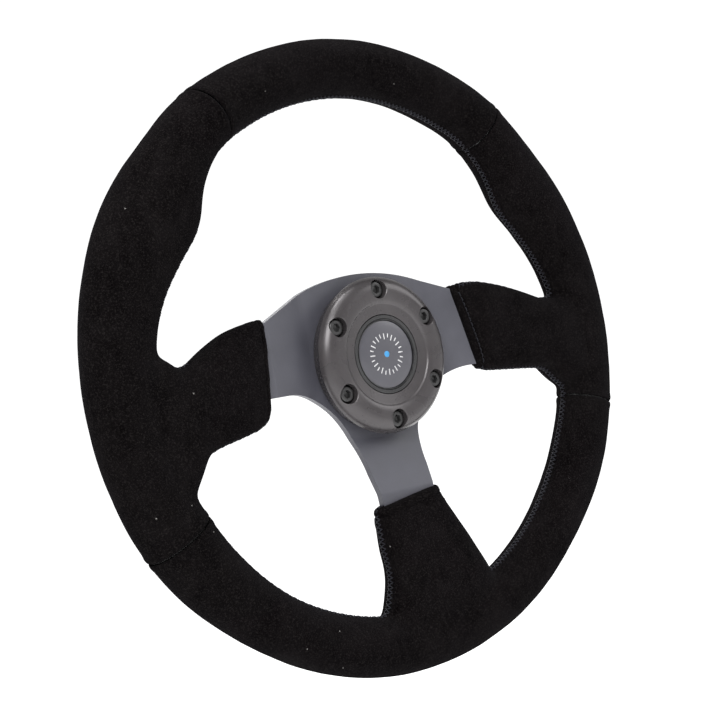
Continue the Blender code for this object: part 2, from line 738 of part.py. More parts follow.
def build_housing():
    lip_back = RING_BACK - FIT
    lip_front = RING_BACK - RING_POCKET_DEPTH + FIT
    bore = HOUSING_OUTER - HOUSING_WALL
    trap = RING_POCKET - FIT
    profile = (
        (0, HOUSING_BACK), (HOUSING_OUTER, HOUSING_BACK), (HOUSING_OUTER, lip_back),
        (trap, lip_back), (trap, lip_front), (HOUSING_OUTER, lip_front),
        (HOUSING_OUTER, HOUSING_FRONT), (RIM_LIP, HOUSING_FRONT),
        (RIM_LIP, HOUSING_FRONT + LIP_DEPTH), (bore, HOUSING_FRONT + LIP_DEPTH),
        (bore, HOUSING_FLOOR), (0, HOUSING_FLOOR),
    )
    housing = add_object("button_housing", turned(profile), plastic())
    slots = bmesh.new()
    for sign in (-1, 1):
        half_x = BLADE_THICKNESS / 2 + FIT
        half_z = BLADE_WIDTH / 2 + FIT
        x = sign * TERMINAL_X
        merge(slots, box((x - half_x, HOUSING_FLOOR - OVERRUN, -half_z),
                         (x + half_x, HOUSING_BACK + OVERRUN, half_z)))
    boolean(housing, cutter("terminal_slots", slots), "DIFFERENCE")


def build_cap(pivot):
    inner = CAP_RADIUS - CAP_WALL
    roof = CAP_RECESS + CAP_WALL
    recess = EMBLEM_RADIUS + FIT
    profile = (
        (0, CAP_RECESS), (recess, CAP_RECESS), (recess, CAP_FRONT), (CAP_RADIUS, CAP_FRONT),
        (CAP_RADIUS, CAP_SHOULDER), (CAP_FLANGE, CAP_SHOULDER), (CAP_FLANGE, CAP_BACK),
        (inner, CAP_BACK), (inner, roof), (0, roof),
    )
    add_object("button_cap", turned(profile), plastic(), pivot)

    dome = CAP_RECESS - FIT
    edge = dome - EMBLEM_EDGE
    lens = [(0, dome), (EMBLEM_RADIUS, dome), (EMBLEM_RADIUS, edge)]
    for i in range(1, 3):
        t = i / 3
        lens.append((EMBLEM_RADIUS * (1 - t), edge - EMBLEM_DOME * (1 - (1 - t) ** 2)))
    lens.append((0, edge - EMBLEM_DOME))
    add_object("emblem_disc", turned(lens), gloss(), pivot)

    disc = ((CONTACT_INNER, CONTACT_FRONT), (CAP_FLANGE - FIT, CONTACT_FRONT),
            (CAP_FLANGE - FIT, CONTACT_FRONT + CONTACT_THICKNESS),
            (CONTACT_INNER, CONTACT_FRONT + CONTACT_THICKNESS))
    add_object("moving_contact", turned(disc, ROUND_INSIDE), brass(), pivot)


def build_contacts():
    ring = ((CONTACT_INNER, FIXED_FRONT), (CONTACT_OUTER, FIXED_FRONT),
            (CONTACT_OUTER, FIXED_FRONT + CONTACT_THICKNESS),
            (CONTACT_INNER, FIXED_FRONT + CONTACT_THICKNESS))
    add_object("fixed_contact", turned(ring, ROUND_INSIDE), brass())
    carrier = ((CARRIER_INNER, CARRIER_FRONT), (CARRIER_OUTER, CARRIER_FRONT),
               (CARRIER_OUTER, HOUSING_FLOOR - FIT), (CARRIER_INNER, HOUSING_FLOOR - FIT))
    add_object("contact_carrier", turned(carrier, ROUND_INSIDE), plastic())
    foot_back = HOUSING_FLOOR - FIT
    foot_front = foot_back - BLADE_THICKNESS
    half = BLADE_WIDTH / 2
    for name, sign in (("horn_terminal", 1), ("ground_terminal", -1)):
        near = sign * (TERMINAL_X - BLADE_THICKNESS / 2)
        far = sign * (TERMINAL_X + BLADE_THICKNESS / 2)
        inner = sign * (HORN_SPRING_RADIUS + HORN_SPRING_WIRE + 2 * FIT)
        outline = ((near, HOUSING_BACK + BLADE_LENGTH), (far, HOUSING_BACK + BLADE_LENGTH),
                   (far, foot_front), (inner, foot_front), (inner, foot_back), (near, foot_back))
        rings = [[Vector((x, y, z)) for x, y in outline] for z in (-half, half)]
        add_object(name, loft(rings), brass())


def build_horn_spring(pivot):
    start = CAP_RECESS + CAP_WALL + HORN_SPRING_WIRE + FIT
    end = HOUSING_FLOOR - HORN_SPRING_WIRE - FIT
    spring = coil(HORN_SPRING_RADIUS, HORN_SPRING_WIRE, start, end, HORN_SPRING_TURNS, 8, 4)
    add_object("horn_spring", spring, steel(), pivot)


# ---------------------------------------------------------------- quick release
def build_hub():
    mouth = SOCKET_RADIUS + MOUTH_CHAMFER
    groove_front = -COLLAR_END
    groove_back = groove_front + SNAP_RING_THICKNESS + 2 * FIT
    groove = SLEEVE_RADIUS - SNAP_GROOVE_DEPTH
    spline_end = -SPLINE_START - SPLINE_LENGTH

    def shape(radius, y, k, angle):
        if radius == FLANGE_LOBE:
            swing = (FLANGE_LOBE - FLANGE_VALLEY) / 2
            return FLANGE_VALLEY + swing * (1 + cos(BOLT_COUNT * angle))
        if radius == SPLINE_TIP:
            return SPLINE_TIP if k % 4 in (0, 1) else SPLINE_ROOT
        return radius

    profile = (
        (WIRE_BORE, FLANGE_FRONT), (FLANGE_LOBE, FLANGE_FRONT), (FLANGE_LOBE, FLANGE_BACK),
        (SLEEVE_RADIUS, FLANGE_BACK), (SLEEVE_RADIUS, groove_front), (groove, groove_front),
        (groove, groove_back), (SLEEVE_RADIUS, groove_back),
        (SLEEVE_RADIUS, -SLEEVE_CHAMFER), (SLEEVE_RADIUS - SLEEVE_CHAMFER, 0), (mouth, 0),
        (SOCKET_RADIUS, -MOUTH_CHAMFER), (SOCKET_RADIUS, -SPLINE_START),
        (SPLINE_TIP, -SPLINE_START), (SPLINE_TIP, spline_end), (WIRE_BORE, spline_end),
    )
    half_side = pi / (4 * SPLINE_COUNT)
    hub_blank = turned(profile, 4 * SPLINE_COUNT, shape, half_side)
    hub = add_object("coupling_hub", hub_blank, anodised())
    bolt_holes = drilled(through(BOLT_HOLE, FLANGE_FRONT, FLANGE_BACK), "flange_bolt_holes")
    boolean(hub, bolt_holes, "DIFFERENCE")
    lip = SOCKET_RADIUS + BALL_LIP_DEPTH
    small = BALL_RADIUS - BALL_PLAY
    large = BALL_RADIUS + BALL_PLAY
    hole = ((0, SOCKET_RADIUS - 2 * OVERRUN), (small, SOCKET_RADIUS - 2 * OVERRUN), (small, lip),
            (large, lip), (large, SLEEVE_RADIUS + OVERRUN), (0, SLEEVE_RADIUS + OVERRUN))
    tools = bmesh.new()
    for index in range(BALL_COUNT):
        one = turned(hole, 12)
        place_radially(one, index)
        merge(tools, one)
    boolean(hub, cutter("ball_holes", tools), "DIFFERENCE")


def ball_angle(index):
    return 2 * pi * (index + 0.5) / BALL_COUNT


def place_radially(mesh_builder, index):
    """Turns a piece made along +Y so that it points outwards at its ball hole."""
    upright = Matrix.Rotation(radians(90), 4, "X")
    swing = Matrix.Rotation(ball_angle(index), 4, "Y")
    place = Matrix.Translation((0, -BALL_DEPTH, 0))
    bmesh.ops.transform(mesh_builder, matrix=place @ swing @ upright, verts=mesh_builder.verts)


def build_balls():
    for index in range(BALL_COUNT):
        angle = ball_angle(index)
        ball = bmesh.new()
        bmesh.ops.create_uvsphere(ball, u_segments=10, v_segments=6, radius=BALL_RADIUS)
        made = add_object(f"lock_ball_{index + 1}", ball, steel())
        made.location = (BALL_CENTRE * sin(angle), -BALL_DEPTH, BALL_CENTRE * cos(angle))


def build_collar(pivot):
    end = -COLLAR_END
    start = end - COLLAR_LENGTH
    land = BALL_CENTRE + BALL_RADIUS + RUNNING
    slope = BALL_TRAVEL / COLLAR_TRAVEL
    cone_end = end - LIP_LENGTH
    recess = land + slope * (cone_end + BALL_DEPTH)
    pocket_end = -BALL_DEPTH - LAND_LENGTH
    chamfer = COLLAR_CHAMFER
    waist = COLLAR_RADIUS - WAIST_DEPTH

    def grip(radius, y, k, angle):
        return radius - GRIP_DEPTH if radius == COLLAR_RADIUS and k % 3 == 0 else radius

    profile = (
        (SPRING_POCKET, start), (COLLAR_RADIUS - chamfer, start), (COLLAR_RADIUS, start + chamfer),
        (COLLAR_RADIUS, start + WAIST[0]), (waist, start + WAIST[1]), (waist, start + WAIST[2]),
        (COLLAR_RADIUS, start + WAIST[3]), (COLLAR_RADIUS, end - chamfer),
        (COLLAR_RADIUS - chamfer, end), (land, end), (land, cone_end), (recess, cone_end),
        (land, -BALL_DEPTH), (land, pocket_end), (SPRING_POCKET, pocket_end),
    )
    add_object("release_collar", turned(profile, 3 * COLLAR_GRIPS, grip), anodised(), pivot)
    first = FLANGE_BACK + SPRING_WIRE + FIT
    last = pocket_end - SPRING_WIRE - FIT
    spring = coil(SPRING_RADIUS, SPRING_WIRE, first, last, SPRING_TURNS, 12, 5)
    add_object("collar_spring", spring, steel(), pivot)


def build_snap_ring():
    front = -COLLAR_END + FIT
    back = front + SNAP_RING_THICKNESS
    inner = SLEEVE_RADIUS - SNAP_GROOVE_DEPTH + FIT
    outer = SLEEVE_RADIUS + SNAP_RING_REACH
    rings = []
    steps = 24
    for i in range(steps + 1):
        a = SNAP_RING_GAP / 2 + (2 * pi - SNAP_RING_GAP) * i / steps
        outward = Vector((sin(a), 0, cos(a)))
        rings.append([outward * inner + Vector((0, front, 0)),
                      outward * outer + Vector((0, front, 0)),
                      outward * outer + Vector((0, back, 0)),
                      outward * inner + Vector((0, back, 0))])
    add_object("snap_ring", loft(rings), steel())


def clear_scene():
    for item in list(bpy.data.objects):
        bpy.data.objects.remove(item, do_unlink=True)


def main():
    clear_scene()
    build_plate()
    build_rim()
    build_ring()
    build_bolts()
    horn = empty("horn_axis", (0, 0, 0))
    build_housing()
    build_cap(horn)
    build_contacts()
    build_horn_spring(horn)
    release = empty("release_axis", (0, 0, 0))
    build_hub()
    build_balls()
    build_collar(release)
    build_snap_ring()


main()
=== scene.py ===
"""Visual model of a three-spoke suede steering wheel with a horn button and a quick release coupling."""
from contextlib import contextmanager
from math import atan2, ceil, copysign, cos, exp, floor, pi, radians, sin, sqrt, tan

import bmesh
import bpy
import numpy as np
from mathutils import Matrix, Vector, noise
from mathutils.bvhtree import BVHTree
from mathutils.kdtree import KDTree


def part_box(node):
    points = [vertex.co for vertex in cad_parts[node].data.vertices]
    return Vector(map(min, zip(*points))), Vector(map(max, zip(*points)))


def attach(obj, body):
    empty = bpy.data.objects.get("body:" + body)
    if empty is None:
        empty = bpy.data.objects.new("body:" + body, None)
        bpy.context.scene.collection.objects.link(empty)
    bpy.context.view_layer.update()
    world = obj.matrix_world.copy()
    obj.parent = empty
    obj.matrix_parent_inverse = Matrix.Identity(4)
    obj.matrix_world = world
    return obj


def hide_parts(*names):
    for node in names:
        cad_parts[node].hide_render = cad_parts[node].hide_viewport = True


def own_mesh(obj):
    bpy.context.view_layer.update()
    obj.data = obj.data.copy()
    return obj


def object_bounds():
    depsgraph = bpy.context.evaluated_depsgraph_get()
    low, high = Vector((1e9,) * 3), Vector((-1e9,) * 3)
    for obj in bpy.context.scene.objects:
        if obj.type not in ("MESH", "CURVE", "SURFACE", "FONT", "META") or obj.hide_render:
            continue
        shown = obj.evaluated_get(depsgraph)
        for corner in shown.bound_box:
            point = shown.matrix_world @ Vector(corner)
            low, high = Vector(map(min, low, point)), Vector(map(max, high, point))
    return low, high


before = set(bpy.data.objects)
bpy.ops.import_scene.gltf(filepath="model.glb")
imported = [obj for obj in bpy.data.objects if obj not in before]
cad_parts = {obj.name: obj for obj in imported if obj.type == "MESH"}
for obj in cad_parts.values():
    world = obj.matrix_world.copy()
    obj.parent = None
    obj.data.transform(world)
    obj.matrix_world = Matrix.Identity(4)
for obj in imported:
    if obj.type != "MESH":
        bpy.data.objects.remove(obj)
cad_box = [list(corner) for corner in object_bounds()]

MM = 0.001
PANELS = ("suede_top", "suede_right", "suede_bottom", "suede_left")
ON_AXIS = 0.01 * MM           # a point nearer to the axis than this is on it
MERGE = 0.002 * MM            # points this close are made one
CUT_SLACK = 1e-7              # points this close to a cut are on it

# --- the rim's skin ---
RIM_FACETS = 40               # sections round the CAD rim
RIM_STEPS = 480               # and round this one, with points round each
RIM_SIDES = 56
SLEEVE_STEP = 1.5             # millimetres from one of a sleeve's sections to the next
SLEEVE_SIDES = 64
SLEEVE_SQUARENESS = 0.62      # power that squares a sleeve's oval section
VOXEL = 1.25 * MM             # size of the remeshed skin's faces
RELAX_ROUNDS = 22             # rounds of smoothing, which fill the corners at the spokes
MOUTH_ROUNDS = 5              # and fewer near a sleeve's mouth
MOUTH_KEPT = 9 * MM           # which is this far from it
SEAM_DEPTH = 0.75 * MM
SEAM_LIP = 0.4 * MM
SEAM_CLOSE = 0.14 / 155       # angle that brings two panels together across the CAD's gap
SEAM_CUTS = (0.35, 0.7, 1.1, 1.7, 2.4, 3.2)   # finer faces, this far from it in millimetres
STITCH_REACH = 2.0 * MM       # from the seam to a row of holes
STITCH_PITCH = 5.2 * MM
STITCH_LIFT = 0.62 * MM       # of the thread above the skin, at the middle of the seam
STITCH_CROSSING = 0.1 * MM    # one thread runs this much above it, and the other below
STITCH_DIP = 0.9 * MM         # into a hole
THREAD = 0.36 * MM            # radius of the sewing thread
SEAM_RAYS = 1400              # cast from the middle of an opening
SEAM_JUMP = 8 * MM            # a longer step from one ray to the next starts another run
SEAM_SPACING = 0.6 * MM       # of the points along a seam
SEAM_WINDOW = 9               # points that a normal is smoothed over

# The sleeves repeat the CAD's: distance of the mouth from the axis, then rows of
# share of the way from the mouth to the hoop, low and high edge, half depth, lean.
SLEEVE_ROWS = {
    "left": (76.8, (
        (0, -22.6, 26.8, 4.9, -0.09),
        (0.08, -26.2, 26.2, 8, -0.05),
        (0.23, -29, 23.6, 10.8, 0),
        (0.42, -32, 16.4, 12.4, 0),
        (0.53, -35.5, 10.5, 12.8, 0),
        (0.61, -45, 7.5, 13, 0),
        (0.73, -58, 14, 13, 0),
        (0.97, -66, 22, 11.5, 0),
    )),
    "right": (62.5, (
        (0, -15.4, 33.2, 4.9, -0.19),
        (0.08, -17.2, 33.6, 8, -0.14),
        (0.32, -19, 29.4, 10.8, 0),
        (0.51, -20.6, 23.8, 12.4, 0),
        (0.61, -22.4, 20.2, 12.8, 0),
        (0.68, -29, 18.6, 13, 0),
        (0.78, -36, 19, 13, 0),
        (0.97, -42, 22, 11.5, 0),
    )),
    "bottom": (76.8, (
        (0, -20.6, 19.8, 4.9, -0.12),
        (0.09, -22.4, 24, 8, -0.05),
        (0.30, -21.8, 33.5, 10.8, 0),
        (0.48, -20, 40.6, 12.4, 0),
        (0.64, -23, 46.8, 13, 0),
        (0.94, -36, 52.5, 11.5, 0),
    )),
}
MOUTH_MARGIN = 16             # a point this far beside a mouth is off the sleeve, in millimetres
INNERMOST = 40                # and so is one this near to the axis
FAR = 1e3                     # distance given to a point off a sleeve
HOOP = 155.0                  # radius of the steel hoop, in millimetres like the rows
SLEEVES = {side: [(mouth + share * (HOOP - mouth), *sizes) for share, *sizes in rows]
           for side, (mouth, rows) in SLEEVE_ROWS.items()}
HEM_WIDTH = {"left": 3.0 * MM, "right": 2.0 * MM, "bottom": 4.2 * MM}
HEM_HEIGHT = {"left": 0.25 * MM, "right": 0.4 * MM, "bottom": 1.0 * MM}
HEM_STITCH = 2.3 * MM
HEM_STITCH_GAP = 0.7 * MM
HEM_THREAD = 0.32 * MM

# --- the plate, in its own plane; these repeat the CAD's ---
BEND_RADIUS = 42.0 * MM
BEND_ANGLE = radians(20.0)
BEND_SOFTNESS = 2.5 * MM
ARCH_TOP = 45.6 * MM
ARCH_RADIUS = 120.0 * MM
ARCH_SPAN = 46.5 * MM
SIDE_LOW = 13.2 * MM
ARMPIT_X = 62.0 * MM
ARMPIT_Z = -62.0 * MM
FOOT_TOP = 19.2 * MM
FOOT_MOUTH = 18.0 * MM
SPOKE_MOUTH = 74.0 * MM
SPOKE_TIP = 110.0 * MM        # the plate ends out of sight inside a sleeve
TIP_NARROWING = 6.0 * MM
PLATE_THICKNESS = 4.0 * MM
PLATE_BEVEL = 0.55 * MM
PLATE_BORE = 21.8 * MM

# --- ring, bolts and button; these repeat the CAD's ---
BOLT_CIRCLE = 35.0 * MM
BOLT_COUNT = 6
BOLT_HEAD = 4.25 * MM         # radii
BOLT_SHANK = 2.5 * MM
BOLT_KEY = 2.3 * MM
BOLT_HEAD_HEIGHT = 5.0 * MM
BOLT_KEY_DEPTH = 2.6 * MM
KNURL = 0.12 * MM
BOLT_HOLE = 2.8 * MM
COUNTERBORE = 5.2 * MM

RING_EDGE = 8.0 * MM          # radius of the rounding round the crest
RING_EDGE_END = radians(15)   # from straight outwards to where it ends
RING_EDGE_STEPS = 14
RING_SLOPE = ((33.5, 0.02), (31.0, 0.14), (29.2, 0.4), (28.1, 0.78), (27.6, 1.15), (27.2, 1.62),
              (26.8, 1.76))         # radius and depth from the crest into the dish, in millimetres
RING_TAPER = 2.6 * MM
RING_DISH = 2.5 * MM
RING_BORE = 21.4 * MM
RING_POCKET = 22.9 * MM       # at the back, for the housing's flange
POCKET_DEPTH = 1.8 * MM

HOUSING_OUTER = 21.1 * MM
HOUSING_WALL = 1.2 * MM
HOUSING_FLOOR_WALL = 1.5 * MM
HOUSING_FLANGE = 22.6 * MM
LIP_BORE = 19.2 * MM
LIP_DEPTH = 2.4 * MM
TERMINAL_X = 7.3 * MM
SLOT_HALF = 0.7 * MM
CAP_RADIUS = 18.9 * MM
CAP_FLANGE = 19.5 * MM
CAP_INSIDE = 17.4 * MM
CAP_WALL = 1.5 * MM
FIT = 0.3 * MM                # play between neighbours

# --- emblem and its mark ---
EMBLEM_EDGE = 0.9 * MM
EMBLEM_STEPS = 12
GROOVE = 0.12 * MM            # step from the emblem's edge down to its dome
TICKS = 24
TICK_NEAR = (8.0 * MM, 9.0 * MM)    # long and short ticks in turn
TICK_FAR = 11.2 * MM
TICK_HALF = 0.32 * MM
DOT_RADIUS = 1.7 * MM

# --- camera, from the fitted view of the object ---
CAMERA_AZIMUTH = radians(-39.09)
CAMERA_ELEVATION = radians(-0.63)
CAMERA_ROLL = radians(-9.37)
CAMERA_DISTANCE = 644.1 * MM
CAMERA_FOCUS = 1.680753       # focal length as a share of the picture's width
AIM = Vector((0.0395537, 0.0062204))    # the horn ring's centre, right of and above the middle

# --- stage, in metres and watts ---
FLOOR_DROP = 0.45             # below the wheel
WORLD_LIGHT = 0.45            # strength of the white world as a light
WORLD_SEEN = 1.1              # and as the camera sees it
LIGHTS = (                    # place, width and power of each
    ("key", (-1.1, -1.2, 1.0), 0.9, 30),
    ("fill", (1.3, -1.0, 0.7), 0.9, 8),
    ("back", (0.2, 1.4, 1.1), 1.0, 14),
    ("overhead", (-0.3, -0.1, 1.6), 0.7, 24),
)


# --- meshes
def add_object(name, data):
    made = bpy.data.objects.new(name, data)
    bpy.context.collection.objects.link(made)
    return made


def add_mesh(name, verts, faces, material):
    mesh = bpy.data.meshes.new(name)
    mesh.from_pydata([tuple(v) for v in verts], [], [tuple(f) for f in faces])
    mesh.materials.append(material)
    mesh.shade_smooth()
    return add_object(name, mesh)


@contextmanager
def edited(mesh):
    """Opens a mesh for editing, and writes it back."""
    built = bmesh.new()
    built.from_mesh(mesh)
    yield built
    built.to_mesh(mesh)
    built.free()


def face_outwards(mesh):
    with edited(mesh) as built:
        bmesh.ops.recalc_face_normals(built, faces=built.faces)


def score(built, faces, place, normal):
    """Cuts faces along a plane, and keeps both sides."""
    parts = [*faces, *(e for f in faces for e in f.edges), *(v for f in faces for v in f.verts)]
    bmesh.ops.bisect_plane(built, geom=list(dict.fromkeys(parts)), dist=CUT_SLACK, plane_co=place,
                           plane_no=normal)


def add_part(verts, faces, part):
    """Adds a part's points and faces to lists that may hold others."""
    more, sides = part
    faces += [tuple(index + len(verts) for index in face) for face in sides]
    verts += more


def loft(rings, closed=False):
    """Faces between rings of equal length; the ends close with one face each."""
    count = len(rings[0])
    verts = [v for ring in rings for v in ring]
    faces = []
    pairs = len(rings) if closed else len(rings) - 1
    for i in range(pairs):
        a, b = i * count, (i + 1) % len(rings) * count
        for k in range(count):
            n = (k + 1) % count
            faces.append((a + k, a + n, b + n, b + k))
    if not closed:
        faces.append(tuple(range(count - 1, -1, -1)))
        faces.append(tuple(range(len(verts) - count, len(verts))))
    return verts, faces


def turned(profile, sides, shape=None):
    """Turns a closed outline of (radius, y) points about the Y axis."""
    rings = []
    for i in range(sides):
        a = 2 * pi * i / sides
        ring = []
        for radius, y in profile:
            r = shape(radius, y, a) if shape else radius
            ring.append(Vector((r * sin(a), y, r * cos(a))))
        rings.append(ring)
    return loft(rings, closed=True)


def eased(outline, radius):
    """Rounds each corner of a closed outline that isn't on the axis."""
    steps = 3
    result = []
    count = len(outline)
    for i, corner in enumerate(outline):
        here = Vector(corner)
        before, after = Vector(outline[i - 1]) - here, Vector(outline[(i + 1) % count]) - here
        if corner[0] < ON_AXIS or min(before.length, after.length) < 0.05 * MM:
            result.append(tuple(here))
            continue
        reach = min(radius, before.length * 0.45, after.length * 0.45)
        start, end = here + before.normalized() * reach, here + after.normalized() * reach
        for k in range(steps + 1):
            t = k / steps
            point = start * (1 - t) ** 2 + here * 2 * t * (1 - t) + end * t ** 2
            result.append(tuple(point))
    return result


def tidy_turned(name, profile, sides, material, shape=None):
    """A turned piece whose axis points are merged to one."""
    made = add_mesh(name, *turned(profile, sides, shape), material)
    with edited(made.data) as built:
        bmesh.ops.remove_doubles(built, verts=built.verts, dist=MERGE)
        bmesh.ops.dissolve_degenerate(built, edges=built.edges, dist=MERGE)
        bmesh.ops.recalc_face_normals(built, faces=built.faces)
    made.data.shade_smooth()
    return made


def weigh_normals(made):
    """Keeps a machined piece's flat faces flat in the shading."""
    weighted = made.modifiers.new("normals", "WEIGHTED_NORMAL")
    weighted.keep_sharp = True
    bake(made)


def harden(made, sharp):
    """Marks edges past an angle in degrees as sharp, then weighs the normals."""
    made.data.set_sharp_from_angle(angle=radians(sharp))
    weigh_normals(made)


def bake(made):
    """Applies an object's modifiers to its mesh."""
    graph = bpy.context.evaluated_depsgraph_get()
    mesh = bpy.data.meshes.new_from_object(made.evaluated_get(graph), depsgraph=graph)
    made.modifiers.clear()
    made.data = mesh


def drill(place, profile, sides):
    """A turned tool that cuts a hole."""
    tool = tidy_turned("tool", profile, sides, FINISH["plate"])
    tool.location = place
    return tool


def cut_away(made, tools):
    """Subtracts the tools, and deletes them."""
    for tool in tools:
        cut = made.modifiers.new("cut", "BOOLEAN")
        cut.operation = "DIFFERENCE"
        cut.object = tool
        cut.solver = "EXACT"
    bake(made)
    for tool in tools:
        bpy.data.objects.remove(tool)
    made.data.shade_smooth()


def tube(path, radius, sides=6):
    """A round wire along points; its section turns as little as it can."""
    rings = []
    across = None
    for i, point in enumerate(path):
        along = (path[min(i + 1, len(path) - 1)] - path[max(i - 1, 0)]).normalized()
        if across is None:
            across = along.orthogonal().normalized()
        across = (across - along * across.dot(along)).normalized()
        other = along.cross(across)
        rings.append([point + across * radius * cos(2 * pi * k / sides)
                      + other * radius * sin(2 * pi * k / sides) for k in range(sides)])
    return loft(rings)


def node_points(node):
    return np.array([v.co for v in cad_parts[node].data.vertices], float)


def direction(angle):
    """Away from the axis, at an angle from the top."""
    return Vector((sin(angle), 0, cos(angle)))


def on_bolt_circle(index):
    return BOLT_CIRCLE * direction(2 * pi * index / BOLT_COUNT)


def finish_piece(made, slot, *nodes, body="wheel"):
    """Attaches a piece to the body that it rides on, and hides the CAD nodes that it stands for. The slot is
    not used.
    """
    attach(made, body)
    if nodes:
        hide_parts(*nodes)


# --- materials
class Nodes:
    """Short names for building a material's nodes."""

    def __init__(self, name):
        self.material = bpy.data.materials.new(name)
        self.material.use_nodes = True
        self.tree = self.material.node_tree
        self.shader = self.tree.nodes["Principled BSDF"]
        self.place = self.tree.nodes.new("ShaderNodeTexCoord").outputs["Object"]

    def feed(self, socket, value):
        """Links a socket to another's output, or sets its number or colour."""
        if hasattr(value, "is_output"):
            self.tree.links.new(value, socket)
        elif socket.type == "RGBA":
            socket.default_value = (*value, 1.0)
        else:
            socket.default_value = value

    def node(self, kind, **inputs):
        made = self.tree.nodes.new(kind)
        for key, value in inputs.items():
            self.feed(made.inputs[key.replace("_", " ")], value)
        return made

    def stretched(self, scale):
        return self.node("ShaderNodeMapping", Vector=self.place, Scale=scale).outputs[0]

    def noise(self, scale, detail, roughness, place=None, distortion=0.0):
        made = self.node("ShaderNodeTexNoise", Vector=place or self.place, Scale=scale,
                         Detail=detail, Roughness=roughness, Distortion=distortion)
        return made.outputs["Fac"]

    def ramp(self, value, low, high, start, end):
        """Maps a value from low..high to start..end, numbers or colours."""
        if isinstance(start, tuple):
            part = self.ramp(value, low, high, 0.0, 1.0)
            return self.blend(part, start, end)
        made = self.node("ShaderNodeMapRange", Value=value, From_Min=low, From_Max=high, To_Min=start,
                         To_Max=end)
        made.clamp = True
        return made.outputs[0]

    def blend(self, part, start, end):
        made = self.tree.nodes.new("ShaderNodeMix")
        made.data_type = "RGBA"
        for index, value in ((0, part), (6, start), (7, end)):      # factor, and the two colours
            self.feed(made.inputs[index], value)
        return made.outputs[2]

    def maths(self, operation, first, second):
        made = self.tree.nodes.new("ShaderNodeMath")
        made.operation = operation
        for socket, value in zip(made.inputs, (first, second)):
            self.feed(socket, value)
        return made.outputs[0]

    def bump(self, height, distance, strength):
        made = self.node("ShaderNodeBump", Height=height, Distance=distance, Strength=strength)
        self.set(Normal=made.outputs[0])

    def set(self, **inputs):
        for key, value in inputs.items():
            self.feed(self.shader.inputs[key.replace("_", " ")], value)


def suede_finish(name):
    """Brushed black suede: lighter where the nap is pushed over, with a few pale specks of lint."""
    n = Nodes(name)
    patches = n.noise(34, 4, 0.6, distortion=0.6)
    brushed = n.noise(240, 3, 0.6, n.stretched((1.0, 0.8, 0.5)))
    fibres = n.noise(2400, 2, 0.7)
    nap = n.maths("ADD", n.maths("MULTIPLY", patches, 0.6), n.maths("MULTIPLY", brushed, 0.4))
    grain = n.noise(1150, 3, 0.75)
    cloth = n.ramp(nap, 0.34, 0.68, (0.0014, 0.0011, 0.0012), (0.0048, 0.0041, 0.0043))
    cloth = n.blend(n.ramp(grain, 0.50, 0.74, 0.0, 0.8), cloth, (0.0150, 0.0132, 0.0130))
    lint = n.node("ShaderNodeTexVoronoi", Vector=n.place, Scale=105)
    split = n.node("ShaderNodeSeparateColor", Color=lint.outputs["Color"])
    near = n.maths("LESS_THAN", lint.outputs["Distance"], 0.042)
    speck = n.maths("MULTIPLY", near, n.maths("GREATER_THAN", split.outputs[0], 0.62))
    n.set(Base_Color=n.blend(speck, cloth, (0.13, 0.125, 0.12)),
          Roughness=n.ramp(fibres, 0.3, 0.7, 0.86, 1.0), Specular_IOR_Level=0.0,
          Sheen_Weight=0.012, Sheen_Roughness=0.5, Sheen_Tint=(0.82, 0.82, 0.9))
    n.bump(n.maths("ADD", n.maths("MULTIPLY", fibres, 0.5), grain), 0.35 * MM, 0.9)
    return n.material


def thread_finish():
    n = Nodes("sewing_thread")
    twist = n.noise(1900, 2, 0.6, n.stretched((1.0, 1.0, 0.4)))
    n.set(Base_Color=n.ramp(twist, 0.3, 0.7, (0.003, 0.003, 0.005), (0.011, 0.011, 0.016)),
          Roughness=n.ramp(twist, 0.3, 0.7, 0.6, 0.75), Specular_IOR_Level=0.2, Sheen_Weight=0.02,
          Sheen_Roughness=0.4)
    n.bump(twist, 0.1 * MM, 0.7)
    return n.material


def hard_finish(name, dark, light, rough, metallic=0.0, patch=55, grain=1500, height=0.02, **sockets):
    """Paint, plastic or metal: slow colour and gloss changes, handling marks and a fine grain."""
    n = Nodes(name)
    slow = n.noise(patch, 4, 0.6, distortion=0.3)
    fine = n.noise(grain, 2, 0.5)
    worn = n.noise(patch * 4, 6, 0.7, n.stretched((1.0, 1.0, 0.35)))
    gloss = n.maths("ADD", n.ramp(slow, 0.3, 0.7, *rough),
                    n.maths("MULTIPLY", n.ramp(worn, 0.58, 0.75, 0.0, 1.0), 0.05))
    n.set(Base_Color=n.ramp(slow, 0.3, 0.7, dark, light), Roughness=gloss, Metallic=metallic, **sockets)
    n.bump(fine, height * MM, 0.6)
    return n.material


def turned_finish(name, dark, light, rough):
    """Machined metal, with fine tool rings round the Y axis."""
    n = Nodes(name)
    x, y, z = n.node("ShaderNodeSeparateXYZ", Vector=n.place).outputs
    across = n.maths("ADD", n.maths("POWER", x, 2.0), n.maths("POWER", z, 2.0))
    join = n.node("ShaderNodeCombineXYZ", X=n.maths("SQRT", across, 0.0), Y=y)
    rings = n.noise(5200, 2, 0.6, join.outputs[0])
    slow = n.noise(60, 4, 0.6)
    n.set(Base_Color=n.ramp(slow, 0.3, 0.7, dark, light), Metallic=1.0,
          Roughness=n.ramp(rings, 0.3, 0.7, *rough))
    n.bump(rings, 0.012 * MM, 0.5)
    return n.material


def foam_finish():
    n = Nodes("moulded_foam")
    cells = n.noise(900, 4, 0.7)
    n.set(Base_Color=n.ramp(cells, 0.3, 0.7, (0.02, 0.02, 0.02), (0.06, 0.06, 0.06)), Roughness=0.95)
    n.bump(cells, 0.3 * MM, 0.8)
    return n.material


